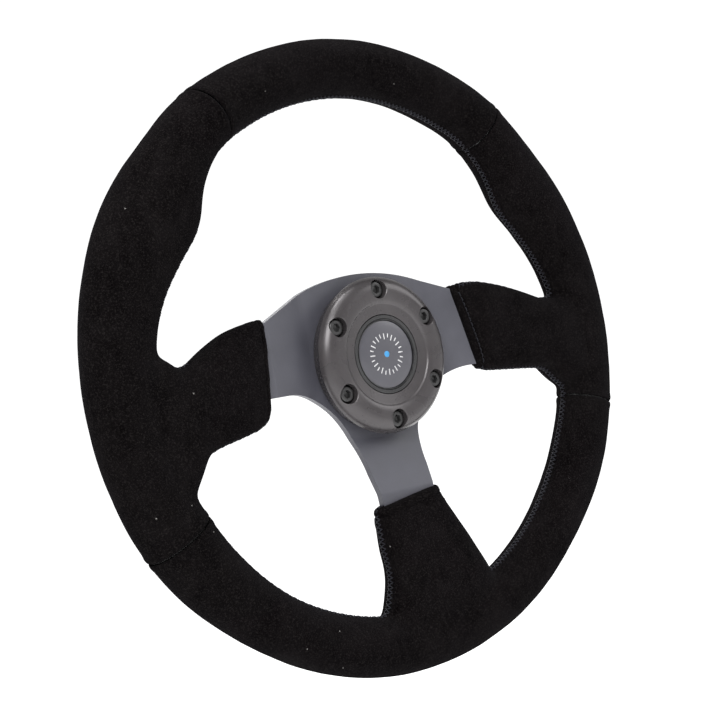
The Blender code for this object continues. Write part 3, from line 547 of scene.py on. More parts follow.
FINISH = {
    "plate": hard_finish("plate_satin", (0.045, 0.045, 0.056), (0.056, 0.056, 0.069), (0.44, 0.52),
                         grain=2600, height=0.03),
    "ring": hard_finish("ring_anodised", (0.044, 0.040, 0.042), (0.056, 0.051, 0.053), (0.24, 0.32),
                        metallic=0.35, grain=3000, height=0.012),
    "bolt": hard_finish("bolt_black_oxide", (0.030, 0.030, 0.031), (0.055, 0.054, 0.054), (0.24, 0.4),
                        metallic=0.5, grain=2500),
    "housing": hard_finish("housing_plastic", (0.012, 0.012, 0.013), (0.018, 0.018, 0.019), (0.34, 0.44)),
    "cap": hard_finish("cap_plastic", (0.005, 0.005, 0.006), (0.009, 0.009, 0.010), (0.30, 0.38)),
    "emblem": hard_finish("emblem_gloss", (0.048, 0.047, 0.057), (0.056, 0.055, 0.065), (0.30, 0.36),
                          height=0.002, Coat_Weight=0.35, Coat_Roughness=0.18),
    "mark": hard_finish("mark_print", (0.42, 0.42, 0.43), (0.5, 0.5, 0.5), (0.3, 0.4)),
    "mark_blue": hard_finish("mark_blue_print", (0.03, 0.2, 0.42), (0.04, 0.24, 0.5), (0.3, 0.4)),
    "coupling": turned_finish("coupling_aluminium", (0.55, 0.55, 0.56), (0.66, 0.66, 0.67), (0.24, 0.38)),
    "collar": turned_finish("collar_anodised", (0.045, 0.045, 0.05), (0.07, 0.07, 0.075), (0.26, 0.4)),
    "ball": hard_finish("ball_steel", (0.6, 0.6, 0.6), (0.7, 0.7, 0.7), (0.08, 0.16), metallic=1.0,
                        height=0.004),
    "spring": hard_finish("spring_steel", (0.38, 0.37, 0.35), (0.5, 0.49, 0.47), (0.25, 0.38), metallic=1.0),
    "hoop_steel": hard_finish("hoop_steel", (0.2, 0.2, 0.2), (0.3, 0.29, 0.28), (0.4, 0.6), metallic=0.9),
    "contact": hard_finish("contact_brass", (0.6, 0.43, 0.18), (0.7, 0.52, 0.25), (0.25, 0.4), metallic=1.0),
    "foam": foam_finish(),
    "thread": thread_finish(),
}


# --- the rim's skin
hoop_low, hoop_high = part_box("rim_hoop")
RIM_PLANE = (hoop_low.y + hoop_high.y) / 2
PLATE_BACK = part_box("spoke_plate")[1].y
PLATE_FRONT = PLATE_BACK - PLATE_THICKNESS
PLATE_MIDDLE = PLATE_BACK - PLATE_THICKNESS / 2


def spoke_middle(distance):
    """The y of a spoke's middle plane: flat, then bent forward to the rim's plane."""
    return PLATE_MIDDLE - min(max(distance - BEND_RADIUS, 0) * tan(BEND_ANGLE), PLATE_MIDDLE - RIM_PLANE)


def rim_sections():
    """Centre radius, half width and half depth at each of the CAD rim's sections, read from its points."""
    points = np.vstack([node_points(name) for name in PANELS])
    radius = np.hypot(points[:, 0], points[:, 2])
    angle = np.degrees(np.arctan2(points[:, 0], points[:, 2]))
    beyond_spokes = radius > (hoop_high.x - hoop_low.x) * 0.46
    sections = []
    for i in range(RIM_FACETS):
        away = np.abs((angle - 360 / RIM_FACETS * i + 180) % 360 - 180)
        near = np.nonzero((away < 0.1) & beyond_spokes)[0]
        crest = near[np.argmin(points[near, 1])]
        sections.append((radius[crest], radius[near].max() - radius[crest], RIM_PLANE - points[crest, 1]))
    return np.array(sections)


def catmull(rows, t):
    """Smooth curve through rows that go round, at a place counted in rows."""
    i = floor(t)
    f = t - i
    a, b, c, d = (rows[(i + k) % len(rows)] for k in (-1, 0, 1, 2))
    return b + 0.5 * f * (c - a + f * (2 * a - 5 * b + 4 * c - d + f * (3 * (b - c) + d - a)))


def rim_rings():
    sections = rim_sections()
    rings = []
    for i in range(RIM_STEPS):
        centre, width, depth = catmull(sections, i * RIM_FACETS / RIM_STEPS)
        outward = direction(2 * pi * i / RIM_STEPS)
        turns = [2 * pi * k / RIM_SIDES for k in range(RIM_SIDES)]
        rings.append([outward * (centre + width * cos(a)) + Vector((0, RIM_PLANE + depth * sin(a), 0))
                      for a in turns])
    return rings


def eased_between(stations, value):
    """Reads a station list along a smooth curve that doesn't overshoot."""
    table = np.array(stations, float)
    x, y = table[:, 0], table[:, 1:]
    slopes = np.diff(y, axis=0) / np.diff(x)[:, None]
    product = slopes[:-1] * slopes[1:]
    total = slopes[:-1] + slopes[1:]
    inner = np.where(product > 0, 2 * product / np.where(total == 0, 1, total), 0)
    tangents = np.vstack([slopes[:1], inner, slopes[-1:]])
    i = int(np.clip(np.searchsorted(x, value) - 1, 0, len(x) - 2))
    h = x[i + 1] - x[i]
    t = (value - x[i]) / h
    return ((2 * t ** 3 - 3 * t ** 2 + 1) * y[i] + (t ** 3 - 2 * t ** 2 + t) * h * tangents[i]
            + (3 * t ** 2 - 2 * t ** 3) * y[i + 1] + (t ** 3 - t ** 2) * h * tangents[i + 1])


def squared(value):
    """Turns a circle's sine or cosine into a rounded box's."""
    return copysign(abs(value) ** SLEEVE_SQUARENESS, value)


def spoke_point(side, reach, across, y):
    """A point by its distance along a spoke and its place across it."""
    if side == "bottom":
        return Vector((across, y, -reach))
    return Vector((reach if side == "right" else -reach, y, across))


def sleeve_rings(side):
    stations = SLEEVES[side]
    first, last = stations[0][0], stations[-1][0]
    count = ceil((last - first) / SLEEVE_STEP)
    rings = []
    for i in range(count + 1):
        distance = first + (last - first) * i / count
        low, high, depth, lean = eased_between(stations, distance)
        ring = []
        for k in range(SLEEVE_SIDES):
            a = 2 * pi * k / SLEEVE_SIDES
            across = (high - low) / 2 * squared(cos(a))
            reach = (distance + lean * across) * MM
            y = spoke_middle(reach) + depth * MM * squared(sin(a))
            ring.append(spoke_point(side, reach, ((low + high) / 2 + across) * MM, y))
        rings.append(ring)
    return rings


def mouth_place(side, points):
    """How far points are in from a sleeve's mouth; off the sleeve the distance is large."""
    first, low, high, _, lean = SLEEVES[side][0]
    x, y, z = np.asarray(points).T / MM
    reach, across = {"left": (-x, z), "right": (x, z), "bottom": (-z, x)}[side]
    inside = reach - lean * (across - (low + high) / 2) - first
    beside = np.abs(across - (low + high) / 2) > (high - low) / 2 + MOUTH_MARGIN
    return np.where(beside | (reach < INNERMOST), FAR, inside) * MM


def skin_mesh():
    """The rim and its three sleeves as one smooth closed surface."""
    verts, faces = loft(rim_rings(), closed=True)
    for side in SLEEVES:
        add_part(verts, faces, loft(sleeve_rings(side)))
    made = add_mesh("skin", verts, faces, FINISH["foam"])
    face_outwards(made.data)
    remesh = made.modifiers.new("remesh", "REMESH")
    remesh.mode = "VOXEL"
    remesh.voxel_size = VOXEL
    bake(made)
    mesh = made.data
    points = np.array([v.co for v in mesh.vertices], float)
    first, second = np.array([e.vertices for e in mesh.edges]).T
    mouth = np.min([mouth_place(side, points) for side in SLEEVES], axis=0)
    joined = np.bincount(np.r_[first, second], minlength=len(points))[:, None]
    for i in range(RELAX_ROUNDS):
        total = np.stack([np.bincount(first, points[second, k], len(points))
                          + np.bincount(second, points[first, k], len(points)) for k in range(3)], 1)
        share = np.where((mouth < MOUTH_KEPT) & (i >= MOUTH_ROUNDS), 0.0, 0.5)[:, None]
        points += share * (total / joined - points)
    mesh.vertices.foreach_set("co", points.ravel())
    mesh.update()
    return made


# --- the sewn seam round the inside
OPENINGS = {                  # middle of each opening, and the sleeve edges where its seam ends
    "upper": ((0, 92), (-76, 26.8), (60, 33.2)),
    "lower_right": ((84, -78), (66, -15.4), (19.8, -75)),
    "lower_left": ((-84, -78), (-20.6, -79), (-79, -22.6)),
}


def seam_path(tree, opening):
    """Points and normals along the middle of the skin, round one opening from sleeve to sleeve.

    Each ray is cast twice, so that it meets the skin at the height of the spokes' middle there.
    """
    middle, start, end = (Vector((x, 0, z)) * MM for x, z in OPENINGS[opening])
    from_angle = atan2(start.x - middle.x, start.z - middle.z)
    to_angle = atan2(end.x - middle.x, end.z - middle.z)
    while to_angle <= from_angle:
        to_angle += 2 * pi
    runs = [[]]
    for i in range(SEAM_RAYS + 1):
        ray = direction(from_angle + (to_angle - from_angle) * i / SEAM_RAYS)
        y = RIM_PLANE
        for _ in range(2):
            place, facing, *_ = tree.ray_cast(Vector((middle.x, y, middle.z)), ray)
            if place is None:
                break
            y = spoke_middle(place.xz.length)
        if place is None or place.length > hoop_high.x:
            continue
        if runs[-1] and (place - runs[-1][-1][0]).length > SEAM_JUMP:
            runs.append([])
        runs[-1].append((place, facing))
    return max(runs, key=len)


def evenly(found):
    """The same path with its points a set distance apart and its normals smoothed."""
    points, normals = (np.array(column) for column in zip(*found))
    run = np.r_[0, np.cumsum(np.linalg.norm(np.diff(points, axis=0), axis=1))]
    count = max(int(run[-1] / SEAM_SPACING), 2)
    places = np.linspace(0, run[-1], count + 1)
    even = np.stack([np.interp(places, run, points[:, k]) for k in range(3)], 1)
    facing = np.stack([np.interp(places, run, normals[:, k]) for k in range(3)], 1)
    window = np.hanning(SEAM_WINDOW)
    window /= window.sum()
    padded = np.pad(facing, ((SEAM_WINDOW // 2, SEAM_WINDOW // 2), (0, 0)), "edge")
    facing = np.stack([np.convolve(padded[:, k], window, "valid") for k in range(3)], 1)
    facing /= np.linalg.norm(facing, axis=1)[:, None]
    return even, facing


def stitches(name, even, facing):
    """Two threads that zigzag across the seam and cross each other, like a baseball's."""
    run = len(even) - 1
    turns = int(run * SEAM_SPACING / (STITCH_PITCH / 2))
    per_turn = 6
    verts, faces = [], []
    for flip in (1, -1):
        path = []
        for i in range(turns * per_turn + 1):
            place = i / per_turn * (STITCH_PITCH / 2) / SEAM_SPACING
            if place > run - 1:
                break
            k = int(place)
            f = place - k
            here = Vector(even[k] * (1 - f) + even[k + 1] * f)
            out = Vector(facing[k])
            ahead = Vector(even[min(k + 2, run)] - even[max(k - 1, 0)]).normalized()
            side = out.cross(ahead).normalized()
            phase = i / per_turn % 2
            swing = 1 - 2 * abs(phase - 1)
            lift = (STITCH_LIFT + STITCH_CROSSING * flip) * (1 - 0.55 * abs(swing))
            rise = lift - STITCH_DIP * abs(swing) ** 6
            path.append(here + side * (flip * swing * STITCH_REACH) + out * rise)
        add_part(verts, faces, tube(path, THREAD))
    finish_piece(add_mesh(name, verts, faces, FINISH["thread"]), "suede")


# --- panels
def wedge(node):
    """Angles from the top at which a panel of the cover starts and ends, in radians."""
    points = node_points(node)
    radius = np.hypot(points[:, 0], points[:, 2])
    points = points[radius > hoop_high.x]
    middle = points.mean(axis=0)
    centre = atan2(middle[0], middle[2])
    away = (np.arctan2(points[:, 0], points[:, 2]) - centre + pi) % (2 * pi) - pi
    return centre + away.min(), centre + away.max()


def cut_panel(skin, node):
    """One panel: the skin between two seams, with finer faces along its seams and hem."""
    start, end = wedge(node)
    start, end = start - SEAM_CLOSE, end + SEAM_CLOSE
    built = bmesh.new()
    built.from_mesh(skin.data)
    for angle, way in ((start, -1), (end, 1)):
        normal = direction(angle + pi / 2) * way
        bmesh.ops.bisect_plane(built, geom=built.verts[:] + built.edges[:] + built.faces[:], dist=CUT_SLACK,
                               plane_co=(0, 0, 0), plane_no=normal, clear_outer=True)
        for offset in SEAM_CUTS:
            near = [f for f in built.faces if -5 * MM < f.calc_center_median().dot(normal) < 1 * MM
                    and f.calc_center_median().dot(direction(angle)) > 0]
            score(built, near, -normal * offset * MM, normal)
    side = node.split("_")[1]
    if side in SLEEVES:
        cut_hem(built, side)
    bmesh.ops.holes_fill(built, edges=[e for e in built.edges if e.is_boundary], sides=0)
    return built, (start, end)


def hem_frame(side):
    """A point on a sleeve's mouth plane and the direction inwards along the sleeve."""
    first, low, high, _, lean = SLEEVES[side][0]
    origin = spoke_point(side, first * MM, (low + high) / 2 * MM, 0)
    along = spoke_point(side, 1.0, 0.0, 0) - spoke_point(side, 0.0, lean, 0)
    return origin, along


def cut_hem(built, side):
    """Finer faces across the hem's fold and its line of sewing."""
    origin, along = hem_frame(side)
    width = HEM_WIDTH[side]
    for offset in (width * 0.5, width * 0.8, *(width + past * MM for past in (-0.3, 0, 0.4, 0.8, 1.3))):
        near = [f for f in built.faces if (f.calc_center_median() - origin).dot(along) < 12 * MM]
        score(built, near, origin + along / along.length_squared * offset, along.normalized())


def bell(value, width):
    return np.exp(-(value / width) ** 2)


def seam_relief(points, angles):
    """A sewn joint across the rim: both panels swell a little, then turn down into it."""
    radius = np.hypot(points[:, 0], points[:, 2])
    around = np.arctan2(points[:, 0], points[:, 2])
    height = np.zeros(len(points))
    for angle in angles:
        away = np.abs((around - angle + pi) % (2 * pi) - pi) * radius
        height += SEAM_LIP * bell(away - 2.4 * MM, 1.8 * MM) - SEAM_DEPTH * bell(away, 0.6 * MM)
    return height


def hem_relief(points, side):
    """The folded end of a sleeve: a raised band, then the line where it is sewn down."""
    inside = mouth_place(side, points)
    width, rise = HEM_WIDTH[side], HEM_HEIGHT[side]
    across = points[:, 0 if side == "bottom" else 2]
    if side == "bottom":
        pucker = 1 + 0.22 * np.sin(across / (1.55 * MM)) * (0.6 + 0.4 * np.sin(across / (5.1 * MM)))
        band = rise * bell(inside - width * 0.5, width * 0.42) * pucker
    else:
        band = rise / (1 + np.exp(np.clip((inside - width) / (0.25 * MM), -40, 40))) * (inside > -3 * MM)
    line = 0.5 * MM * bell(inside - width - 0.35 * MM, 0.55 * MM)
    pull = 0.14 * MM * np.sin(across / (0.95 * MM)) * bell(inside - width - 1.6 * MM, 1.6 * MM)
    return np.where(inside < 14 * MM, band - line + pull, 0.0)


def stitch_relief(points, seam):
    """The sewn seam along the inside: two rounded lips either side of a groove."""
    tree, even, facing = seam
    height = np.zeros(len(points))
    for i, point in enumerate(points):
        _, index, away = tree.find(point)
        if away > 6 * MM:
            continue
        ahead = even[min(index + 1, len(even) - 1)] - even[max(index - 1, 0)]
        across = np.cross(facing[index], ahead)
        across /= np.linalg.norm(across)
        beside = abs(float((point - even[index]) @ across))
        length = sqrt(max(away ** 2 - beside ** 2, 0))
        fade = exp(-max(length - 1.5 * MM, 0) / (1 * MM))
        lips = 0.5 * MM * bell(beside - 1.25 * MM, 0.8 * MM)
        groove = 0.75 * MM * bell(beside, 0.45 * MM)
        holes = 0.35 * MM * bell(beside - 2.1 * MM, 0.5 * MM)
        height[i] = (lips - groove - holes) * fade
    return height


def soft_relief(points):
    """Slow, shallow waves of suede over foam, with finer ones on top."""
    return MM * np.array([noise.noise(p * 38) * 0.28 + noise.noise(p * 120 + Vector((7, 3, 1))) * 0.10
                          for p in map(Vector, points)])


def refine_near(built, tree):
    """Halves the faces that lie along the sewn seam."""
    near = {v for v in built.verts if tree.find(v.co)[2] < 3.4 * MM}
    edges = [e for e in built.edges if e.verts[0] in near and e.verts[1] in near]
    bmesh.ops.subdivide_edges(built, edges=edges, cuts=1, use_grid_fill=True)


def make_skin():
    skin = skin_mesh()
    tree = BVHTree.FromObject(skin, bpy.context.evaluated_depsgraph_get())
    seams = [evenly(seam_path(tree, opening)) for opening in OPENINGS]
    for opening, seam in zip(OPENINGS, seams):
        stitches("stitches_" + opening, *seam)
    even, facing = (np.vstack(rows) for rows in zip(*seams))
    seam_tree = KDTree(len(even))
    for i, point in enumerate(even):
        seam_tree.insert(point, i)
    seam_tree.balance()
    finish = suede_finish("black_suede")
    for node in PANELS:
        built, angles = cut_panel(skin, node)
        refine_near(built, seam_tree)
        built.normal_update()
        points = np.array([v.co for v in built.verts])
        normals = np.array([v.normal for v in built.verts])
        height = seam_relief(points, angles) + soft_relief(points)
        height += stitch_relief(points, (seam_tree, even, facing))
        side = node.split("_")[1]
        if side in SLEEVES:
            height += hem_relief(points, side)
        for vertex, place in zip(built.verts, points + normals * height[:, None]):
            vertex.co = place
        mesh = bpy.data.meshes.new(node)
        built.to_mesh(mesh)
        built.free()
        mesh.materials.append(finish)
        mesh.shade_smooth()
        panel = add_object("skin_" + side, mesh)
        finish_piece(panel, "suede", node)
    hem_stitches(tree)
    bpy.data.objects.remove(skin)


def hem_stitches(tree):
    """A row of short stitches beside the right sleeve's hem, front and back."""
    side = "right"
    first, low, high, _, lean = SLEEVES[side][0]
    first, low, high = first * MM, low * MM, high * MM
    margin = 2.5 * MM
    verts, faces = [], []
    for way in (1, -1):
        inwards = Vector((0, way, 0))
        across = low + margin
        while across + HEM_STITCH < high - margin:
            path = []
            for k, sink in enumerate((0.45, -0.02, -0.02, -0.02, -0.02, 0.45)):
                here = across + HEM_STITCH * k / 5
                reach = first + lean * (here - (low + high) / 2) + HEM_WIDTH[side] + 0.35 * MM
                place = tree.ray_cast(spoke_point(side, reach, here, RIM_PLANE - way * 40 * MM), inwards)[0]
                if place is None:
                    break
                path.append(place + inwards * sink * MM)
            else:
                add_part(verts, faces, tube(path, HEM_THREAD))
            across += HEM_STITCH + HEM_STITCH_GAP
    finish_piece(add_mesh("stitches_right_hem", verts, faces, FINISH["thread"]), "suede")


# --- plate
def arch_height(x):
    centre = ARCH_TOP - ARCH_RADIUS
    if abs(x) <= ARCH_SPAN:
        return centre + sqrt(ARCH_RADIUS ** 2 - x ** 2)
    shoulder = sqrt(ARCH_RADIUS ** 2 - ARCH_SPAN ** 2)
    return centre + shoulder - ARCH_SPAN / shoulder * (abs(x) - ARCH_SPAN)


def right_outline():
    """The right half of the plate's outline, from the top middle to the bottom spoke's end."""
    steps = 36
    mouth_high = arch_height(SPOKE_MOUTH)
    points = [(SPOKE_MOUTH * i / steps, arch_height(SPOKE_MOUTH * i / steps)) for i in range(steps + 1)]
    points += [(SPOKE_TIP, mouth_high - 2 * TIP_NARROWING), (SPOKE_TIP, -SIDE_LOW), (ARMPIT_X, -SIDE_LOW)]
    across, up = ARMPIT_X - FOOT_TOP, -SIDE_LOW - ARMPIT_Z
    for i in range(1, steps + 1):
        a = pi / 2 * i / steps
        points.append((ARMPIT_X - across * sin(a), ARMPIT_Z + up * cos(a)))
    points += [(FOOT_MOUTH, -SPOKE_MOUTH), (FOOT_MOUTH - TIP_NARROWING / 2, -SPOKE_TIP)]
    return points


def bend(x, z):
    """Rise of the bent plate, with the bend itself rounded."""
    total = 0.0
    for past in (abs(x) - BEND_RADIUS, -z - BEND_RADIUS):
        if past > -6 * MM:
            eased_past = (past + sqrt(past ** 2 + BEND_SOFTNESS ** 2)) / 2
            total += min(eased_past * tan(BEND_ANGLE), PLATE_MIDDLE - RIM_PLANE)
    return total


def make_plate():
    half = right_outline()
    outline = half + [(-x, z) for x, z in reversed(half[1:])]
    rings = [[(x, y, z) for x, z in outline] for y in (PLATE_FRONT, PLATE_BACK)]
    plate = add_mesh("plate", *loft(rings), FINISH["plate"])
    face_outwards(plate.data)
    start, end = PLATE_FRONT - 9 * MM, PLATE_BACK + 9 * MM
    bore, hole = (((0, start), (r, start), (r, end), (0, end)) for r in (PLATE_BORE, BOLT_HOLE))
    bolt_holes = [drill(on_bolt_circle(i), hole, 32) for i in range(BOLT_COUNT)]
    cut_away(plate, [drill(Vector(), bore, 96), *bolt_holes])
    rounding = plate.modifiers.new("edges", "BEVEL")
    rounding.width = PLATE_BEVEL
    rounding.segments = 3
    rounding.limit_method = "ANGLE"
    rounding.angle_limit = radians(35)
    weigh_normals(plate)
    with edited(plate.data) as built:
        lines = [BEND_RADIUS + k * 1.1 * MM for k in range(-6, 7)]
        lines += [BEND_RADIUS + k * 6 * MM for k in range(2, 9)]
        for distance in lines:
            for normal in (Vector((1, 0, 0)), Vector((-1, 0, 0)), Vector((0, 0, -1))):
                score(built, built.faces[:], normal * distance, normal)
        for vertex in built.verts:
            vertex.co.y -= bend(vertex.co.x, vertex.co.z)
        bmesh.ops.triangulate(built, faces=[f for f in built.faces if len(f.verts) > 4])
    plate.data.shade_smooth()
    harden(plate, 40)
    finish_piece(plate, "plate", "spoke_plate")


# --- ring, bolts and button
ring_low, ring_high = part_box("horn_ring")
CREST, RING_BACK = ring_low.y, ring_high.y
RING_OUTER = ring_high.z
BOLT_TOP, BOLT_END = (corner.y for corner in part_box("ring_bolt_1"))
BOLT_SEAT = BOLT_TOP + BOLT_HEAD_HEIGHT


def make_ring():
    dish = CREST + RING_DISH
    centre, crest_edge = RING_OUTER - RING_EDGE * cos(RING_EDGE_END), CREST + RING_EDGE
    edge = crest_edge - RING_EDGE * sin(RING_EDGE_END)
    back = RING_OUTER - RING_TAPER
    profile = [(RING_POCKET, RING_BACK), (back - 0.5 * MM, RING_BACK),
               (back + 0.06 * MM, RING_BACK - 0.5 * MM), (RING_OUTER - 0.8 * MM, edge + 0.8 * MM),
               (RING_OUTER - 0.12 * MM, edge + 0.14 * MM)]
    for i in range(RING_EDGE_STEPS + 1):
        a = -RING_EDGE_END + (RING_EDGE_END - pi / 2) * i / RING_EDGE_STEPS
        profile.append((centre + RING_EDGE * cos(a), crest_edge + RING_EDGE * sin(a)))
    profile += [(radius * MM, CREST + depth * MM) for radius, depth in RING_SLOPE]
    profile += [(RING_BORE + 0.6 * MM, dish - 0.04 * MM), (RING_BORE + 0.15 * MM, dish + 0.05 * MM),
                (RING_BORE, dish + 0.4 * MM), (RING_BORE, RING_BACK - POCKET_DEPTH),
                (RING_POCKET, RING_BACK - POCKET_DEPTH)]
    ring = tidy_turned("ring", profile, 180, FINISH["ring"])
    mouth, end, seat = CREST - 1 * MM, RING_BACK + 1 * MM, BOLT_SEAT + 0.3 * MM
    hole = ((0, mouth), (COUNTERBORE + 1.2 * MM, mouth), (COUNTERBORE + 0.28 * MM, CREST + 0.06 * MM),
            (COUNTERBORE, CREST + 0.34 * MM), (COUNTERBORE, seat), (BOLT_HOLE, seat), (BOLT_HOLE, end),
            (0, end))
    cut_away(ring, [drill(on_bolt_circle(i), hole, 48) for i in range(BOLT_COUNT)])
    harden(ring, 38)
    finish_piece(ring, "ring", "horn_ring")


def bolt_radius(radius, y, angle):
    """The bolt's profile radius, made a hexagon in the key socket and knurled round the head."""
    if ON_AXIS < radius <= BOLT_KEY + 0.26 * MM and y < BOLT_TOP + BOLT_KEY_DEPTH + 0.7 * MM:
        return radius * cos(pi / 6) / cos(angle % (pi / 3) - pi / 6)
    if abs(radius - BOLT_HEAD) < ON_AXIS and y > BOLT_TOP + 0.7 * MM:
        return radius - KNURL * (0.5 + 0.5 * cos(angle * 36))
    return radius


def make_bolts():
    top, bottom = BOLT_TOP, BOLT_TOP + BOLT_KEY_DEPTH
    profile = [(0, bottom + 0.6 * MM), (BOLT_KEY * 0.55, bottom + 0.25 * MM), (BOLT_KEY * 0.97, bottom),
               (BOLT_KEY, top + 0.3 * MM), (BOLT_KEY + 0.25 * MM, top + 0.04 * MM),
               (BOLT_KEY + 0.5 * MM, top), (BOLT_HEAD - 0.75 * MM, top),
               (BOLT_HEAD - 0.42 * MM, top + 0.1 * MM), (BOLT_HEAD - 0.12 * MM, top + 0.38 * MM),
               (BOLT_HEAD, top + 0.75 * MM),
               (BOLT_HEAD, BOLT_SEAT - 0.3 * MM), (BOLT_HEAD - 0.25 * MM, BOLT_SEAT), (BOLT_SHANK, BOLT_SEAT),
               (BOLT_SHANK, BOLT_END - 0.5 * MM), (BOLT_SHANK - 0.5 * MM, BOLT_END), (0, BOLT_END)]
    for index in range(BOLT_COUNT):
        bolt = tidy_turned(f"bolt_{index + 1}", profile, 144, FINISH["bolt"], bolt_radius)
        own_angle = radians(17 * index + 8)
        bolt.data.transform(Matrix.Rotation(own_angle, 4, "Y"))
        harden(bolt, 40)
        bolt.location = on_bolt_circle(index)
        finish_piece(bolt, "bolt", f"ring_bolt_{index + 1}")


def make_housing(front):
    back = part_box("button_housing")[1].y
    inside = HOUSING_OUTER - HOUSING_WALL
    near, far = RING_BACK - 1.5 * MM, RING_BACK - FIT
    profile = ((0, back), (HOUSING_OUTER, back), (HOUSING_OUTER, far), (HOUSING_FLANGE, far),
               (HOUSING_FLANGE, near), (HOUSING_OUTER, near), (HOUSING_OUTER, front), (LIP_BORE, front),
               (LIP_BORE, front + LIP_DEPTH), (inside, front + LIP_DEPTH),
               (inside, back - HOUSING_FLOOR_WALL), (0, back - HOUSING_FLOOR_WALL))
    housing = tidy_turned("housing", eased(profile, 0.35 * MM), 120, FINISH["housing"])
    slots = []
    for name in ("horn_terminal", "ground_terminal"):
        low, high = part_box(name)
        x = copysign(TERMINAL_X, low.x + high.x)
        corners = [(x + side * SLOT_HALF, z) for side, z in (
            (-1, low.z - FIT), (-1, high.z + FIT), (1, high.z + FIT), (1, low.z - FIT))]
        rings = [[(x, y, z) for x, z in corners] for y in (back - 3 * MM, back + 1 * MM)]
        slot = add_mesh("tool", *loft(rings), FINISH["housing"])
        face_outwards(slot.data)
        slots.append(slot)
    cut_away(housing, slots)
    harden(housing, 38)
    finish_piece(housing, "housing", "button_housing")


def make_cap(front, emblem):
    rim = emblem.z + FIT
    shoulder = front + LIP_DEPTH + FIT
    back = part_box("button_cap")[1].y
    recess = emblem.y + FIT
    profile = ((0, recess), (rim, recess), (rim, front), (CAP_RADIUS, front), (CAP_RADIUS, shoulder),
               (CAP_FLANGE, shoulder), (CAP_FLANGE, back), (CAP_INSIDE, back),
               (CAP_INSIDE, recess + CAP_WALL), (0, recess + CAP_WALL))
    cap = tidy_turned("cap", eased(profile, 0.4 * MM), 120, FINISH["cap"])
    harden(cap, 38)
    finish_piece(cap, "cap", "button_cap", body="horn_button")


def make_emblem():
    """The domed disc, with a generic mark: ticks round a dot."""
    low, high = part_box("emblem_disc")
    radius, edge = high.z, high.y - EMBLEM_EDGE
    dome = edge - low.y

    def surface(r):
        return edge - dome * (1 - (r / radius) ** 2) - GROOVE

    profile = [(0, high.y), (radius - 0.1 * MM, high.y), (radius, high.y - 0.1 * MM)]
    for i in range(EMBLEM_STEPS + 1):
        t = i / EMBLEM_STEPS
        y = surface(radius * (1 - t)) + GROOVE * exp(-t * 30)
        profile.append(((radius - 0.05 * MM) * (1 - t), y))
    emblem = tidy_turned("emblem", profile, 128, FINISH["emblem"])
    harden(emblem, 50)
    finish_piece(emblem, "emblem", "emblem_disc", body="horn_button")

    verts, faces = [], []
    for i in range(TICKS):
        a = 2 * pi * i / TICKS
        outward, along = direction(a), direction(a + pi / 2)
        rings = [[outward * r + along * side * TICK_HALF + Vector((0, surface(r) + lift, 0))
                  for side, lift in ((-1, 0.05 * MM), (-1, -0.03 * MM), (1, -0.03 * MM), (1, 0.05 * MM))]
                 for r in np.linspace(TICK_NEAR[i % 2], TICK_FAR, 5)]
        add_part(verts, faces, loft(rings))
    finish_piece(add_mesh("emblem_ticks", verts, faces, FINISH["mark"]), "emblem", body="horn_button")
    dot = [(r, surface(r) + lift * MM) for r, lift in (
        (0, 0.1), (DOT_RADIUS, 0.1), (DOT_RADIUS, -0.02), (DOT_RADIUS / 2, -0.04), (0, -0.04))]
    finish_piece(tidy_turned("emblem_dot", dot, 48, FINISH["mark_blue"]), "emblem", body="horn_button")


# --- springs
def make_spring(node, wire):
    """A coil with half a flat turn at each end and an even pitch between them."""
    turns = 4.25
    low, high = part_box(node)
    radius = high.x - wire
    start, end = low.y + wire, high.y - wire
    count = int(turns * 36)
    path = []
    for i in range(count + 1):
        t = i / count
        a = 2 * pi * turns * t
        lift = min(max((t * turns - 0.5) / (turns - 1.0), 0), 1)
        path.append(Vector((radius * sin(a), start + (end - start) * lift, radius * cos(a))))
    spring = add_mesh(node + "_coil", *tube(path, wire, 12), FINISH["spring"])
    finish_piece(spring, "spring", node)
    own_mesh(spring)


# --- stage
def make_stage():
    size = 60.0
    z = cad_box[0][2] - FLOOR_DROP
    n = Nodes("pale_floor")
    n.set(Base_Color=n.ramp(n.noise(3, 3, 0.5), 0.3, 0.7, (0.93, 0.93, 0.93), (0.95, 0.95, 0.95)),
          Roughness=0.9, Specular_IOR_Level=0.0, Emission_Color=(1.0, 1.0, 1.0), Emission_Strength=0.35)
    verts = [(x * size, y * size, z) for x, y in ((-1, -1), (1, -1), (1, 1), (-1, 1))]
    add_mesh("floor", verts, [(0, 1, 2, 3)], n.material)
    world = bpy.data.worlds.new("studio")
    world.use_nodes = True
    tree = world.node_tree
    seen = tree.nodes.new("ShaderNodeLightPath")
    level = tree.nodes.new("ShaderNodeMapRange")
    tree.links.new(seen.outputs["Is Camera Ray"], level.inputs["Value"])
    level.inputs["To Min"].default_value = WORLD_LIGHT
    level.inputs["To Max"].default_value = WORLD_SEEN
    background = tree.nodes["Background"]
    background.inputs["Color"].default_value = (1, 1, 1, 1)
    tree.links.new(level.outputs["Result"], background.inputs["Strength"])
    bpy.context.scene.world = world
    bpy.context.scene.view_settings.view_transform = "Standard"
    for name, place, size, power in LIGHTS:
        lamp = add_lamp(name, "AREA", power, -Vector(place))
        lamp.data.size = size
        lamp.location = place
    sky = add_lamp("sky", "SUN", 1.5, Vector((0.25, 0.25, -1)))     # brings the floor up to white
    sky.data.angle = radians(50)


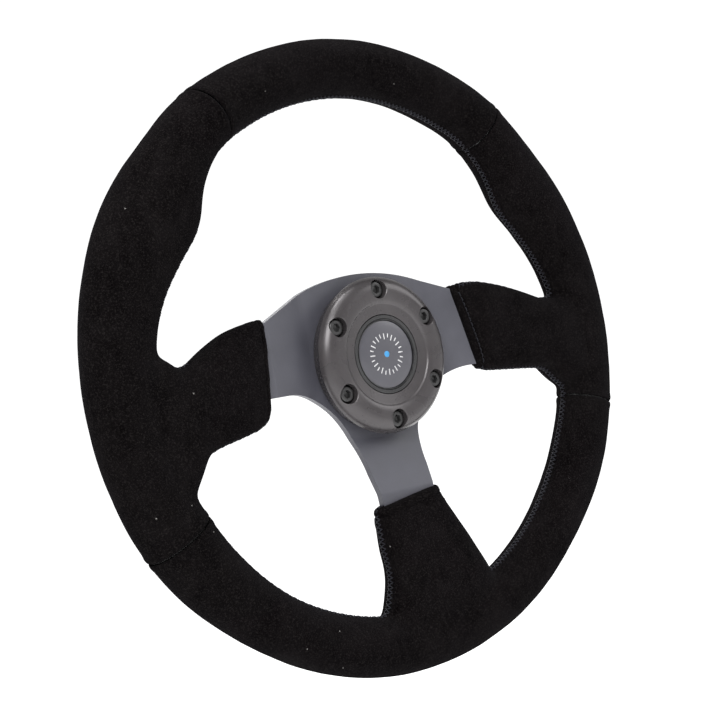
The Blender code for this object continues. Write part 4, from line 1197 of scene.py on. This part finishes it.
def add_lamp(name, kind, power, towards):
    lamp = bpy.data.lights.new(name, kind)
    lamp.energy = power
    made = add_object(name, lamp)
    made.rotation_euler = towards.to_track_quat("-Z", "Y").to_euler()
    return made


def make_camera():
    """Looks at the horn ring from the left; the ring's centre stands a little off the middle."""
    back = Vector((sin(CAMERA_AZIMUTH) * cos(CAMERA_ELEVATION), -cos(CAMERA_AZIMUTH) * cos(CAMERA_ELEVATION),
                   sin(CAMERA_ELEVATION)))
    forward = -back
    level = forward.cross(Vector((0, 0, 1))).normalized()
    upright = level.cross(forward)
    right = level * cos(CAMERA_ROLL) + upright * sin(CAMERA_ROLL)
    up = upright * cos(CAMERA_ROLL) - level * sin(CAMERA_ROLL)
    aim = Vector((AIM.x / CAMERA_FOCUS, AIM.y / CAMERA_FOCUS, 1)).normalized()
    swing = Vector((0, 0, 1)).rotation_difference(aim).to_matrix()
    right, up, forward = swing @ Matrix((right, up, forward))
    camera = bpy.data.cameras.new("camera")
    camera.lens = camera.sensor_width * CAMERA_FOCUS
    camera.clip_start = 0.01
    camera.clip_end = 200
    made = add_object("camera", camera)
    place = back * CAMERA_DISTANCE + Vector((0, BOLT_TOP, 0))
    turn = Matrix((right, up, -forward)).transposed().to_4x4()
    made.matrix_world = Matrix.Translation(place) @ turn
    bpy.context.scene.camera = made


make_camera()
make_stage()
make_skin()
make_plate()
make_ring()
make_bolts()
button_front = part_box("button_housing")[0].y
make_housing(button_front)
make_cap(button_front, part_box("emblem_disc")[1])
make_emblem()
make_spring("collar_spring", 0.8 * MM)
make_spring("horn_spring", 0.45 * MM)

CARRIED = {
    "rim_hoop": "hoop_steel", "rim_foam": "foam", "moving_contact": "contact", "fixed_contact": "contact",
    "contact_carrier": "housing", "horn_terminal": "contact", "ground_terminal": "contact",
    "coupling_hub": "coupling", "release_collar": "collar", "snap_ring": "spring",
    **{f"lock_ball_{i + 1}": "ball" for i in range(BOLT_COUNT)},
}
for name, finish in CARRIED.items():
    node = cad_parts[name]
    if not node.data.materials:
        node.data.materials.append(None)
    for slot in node.material_slots:
        slot.material = FINISH[finish]
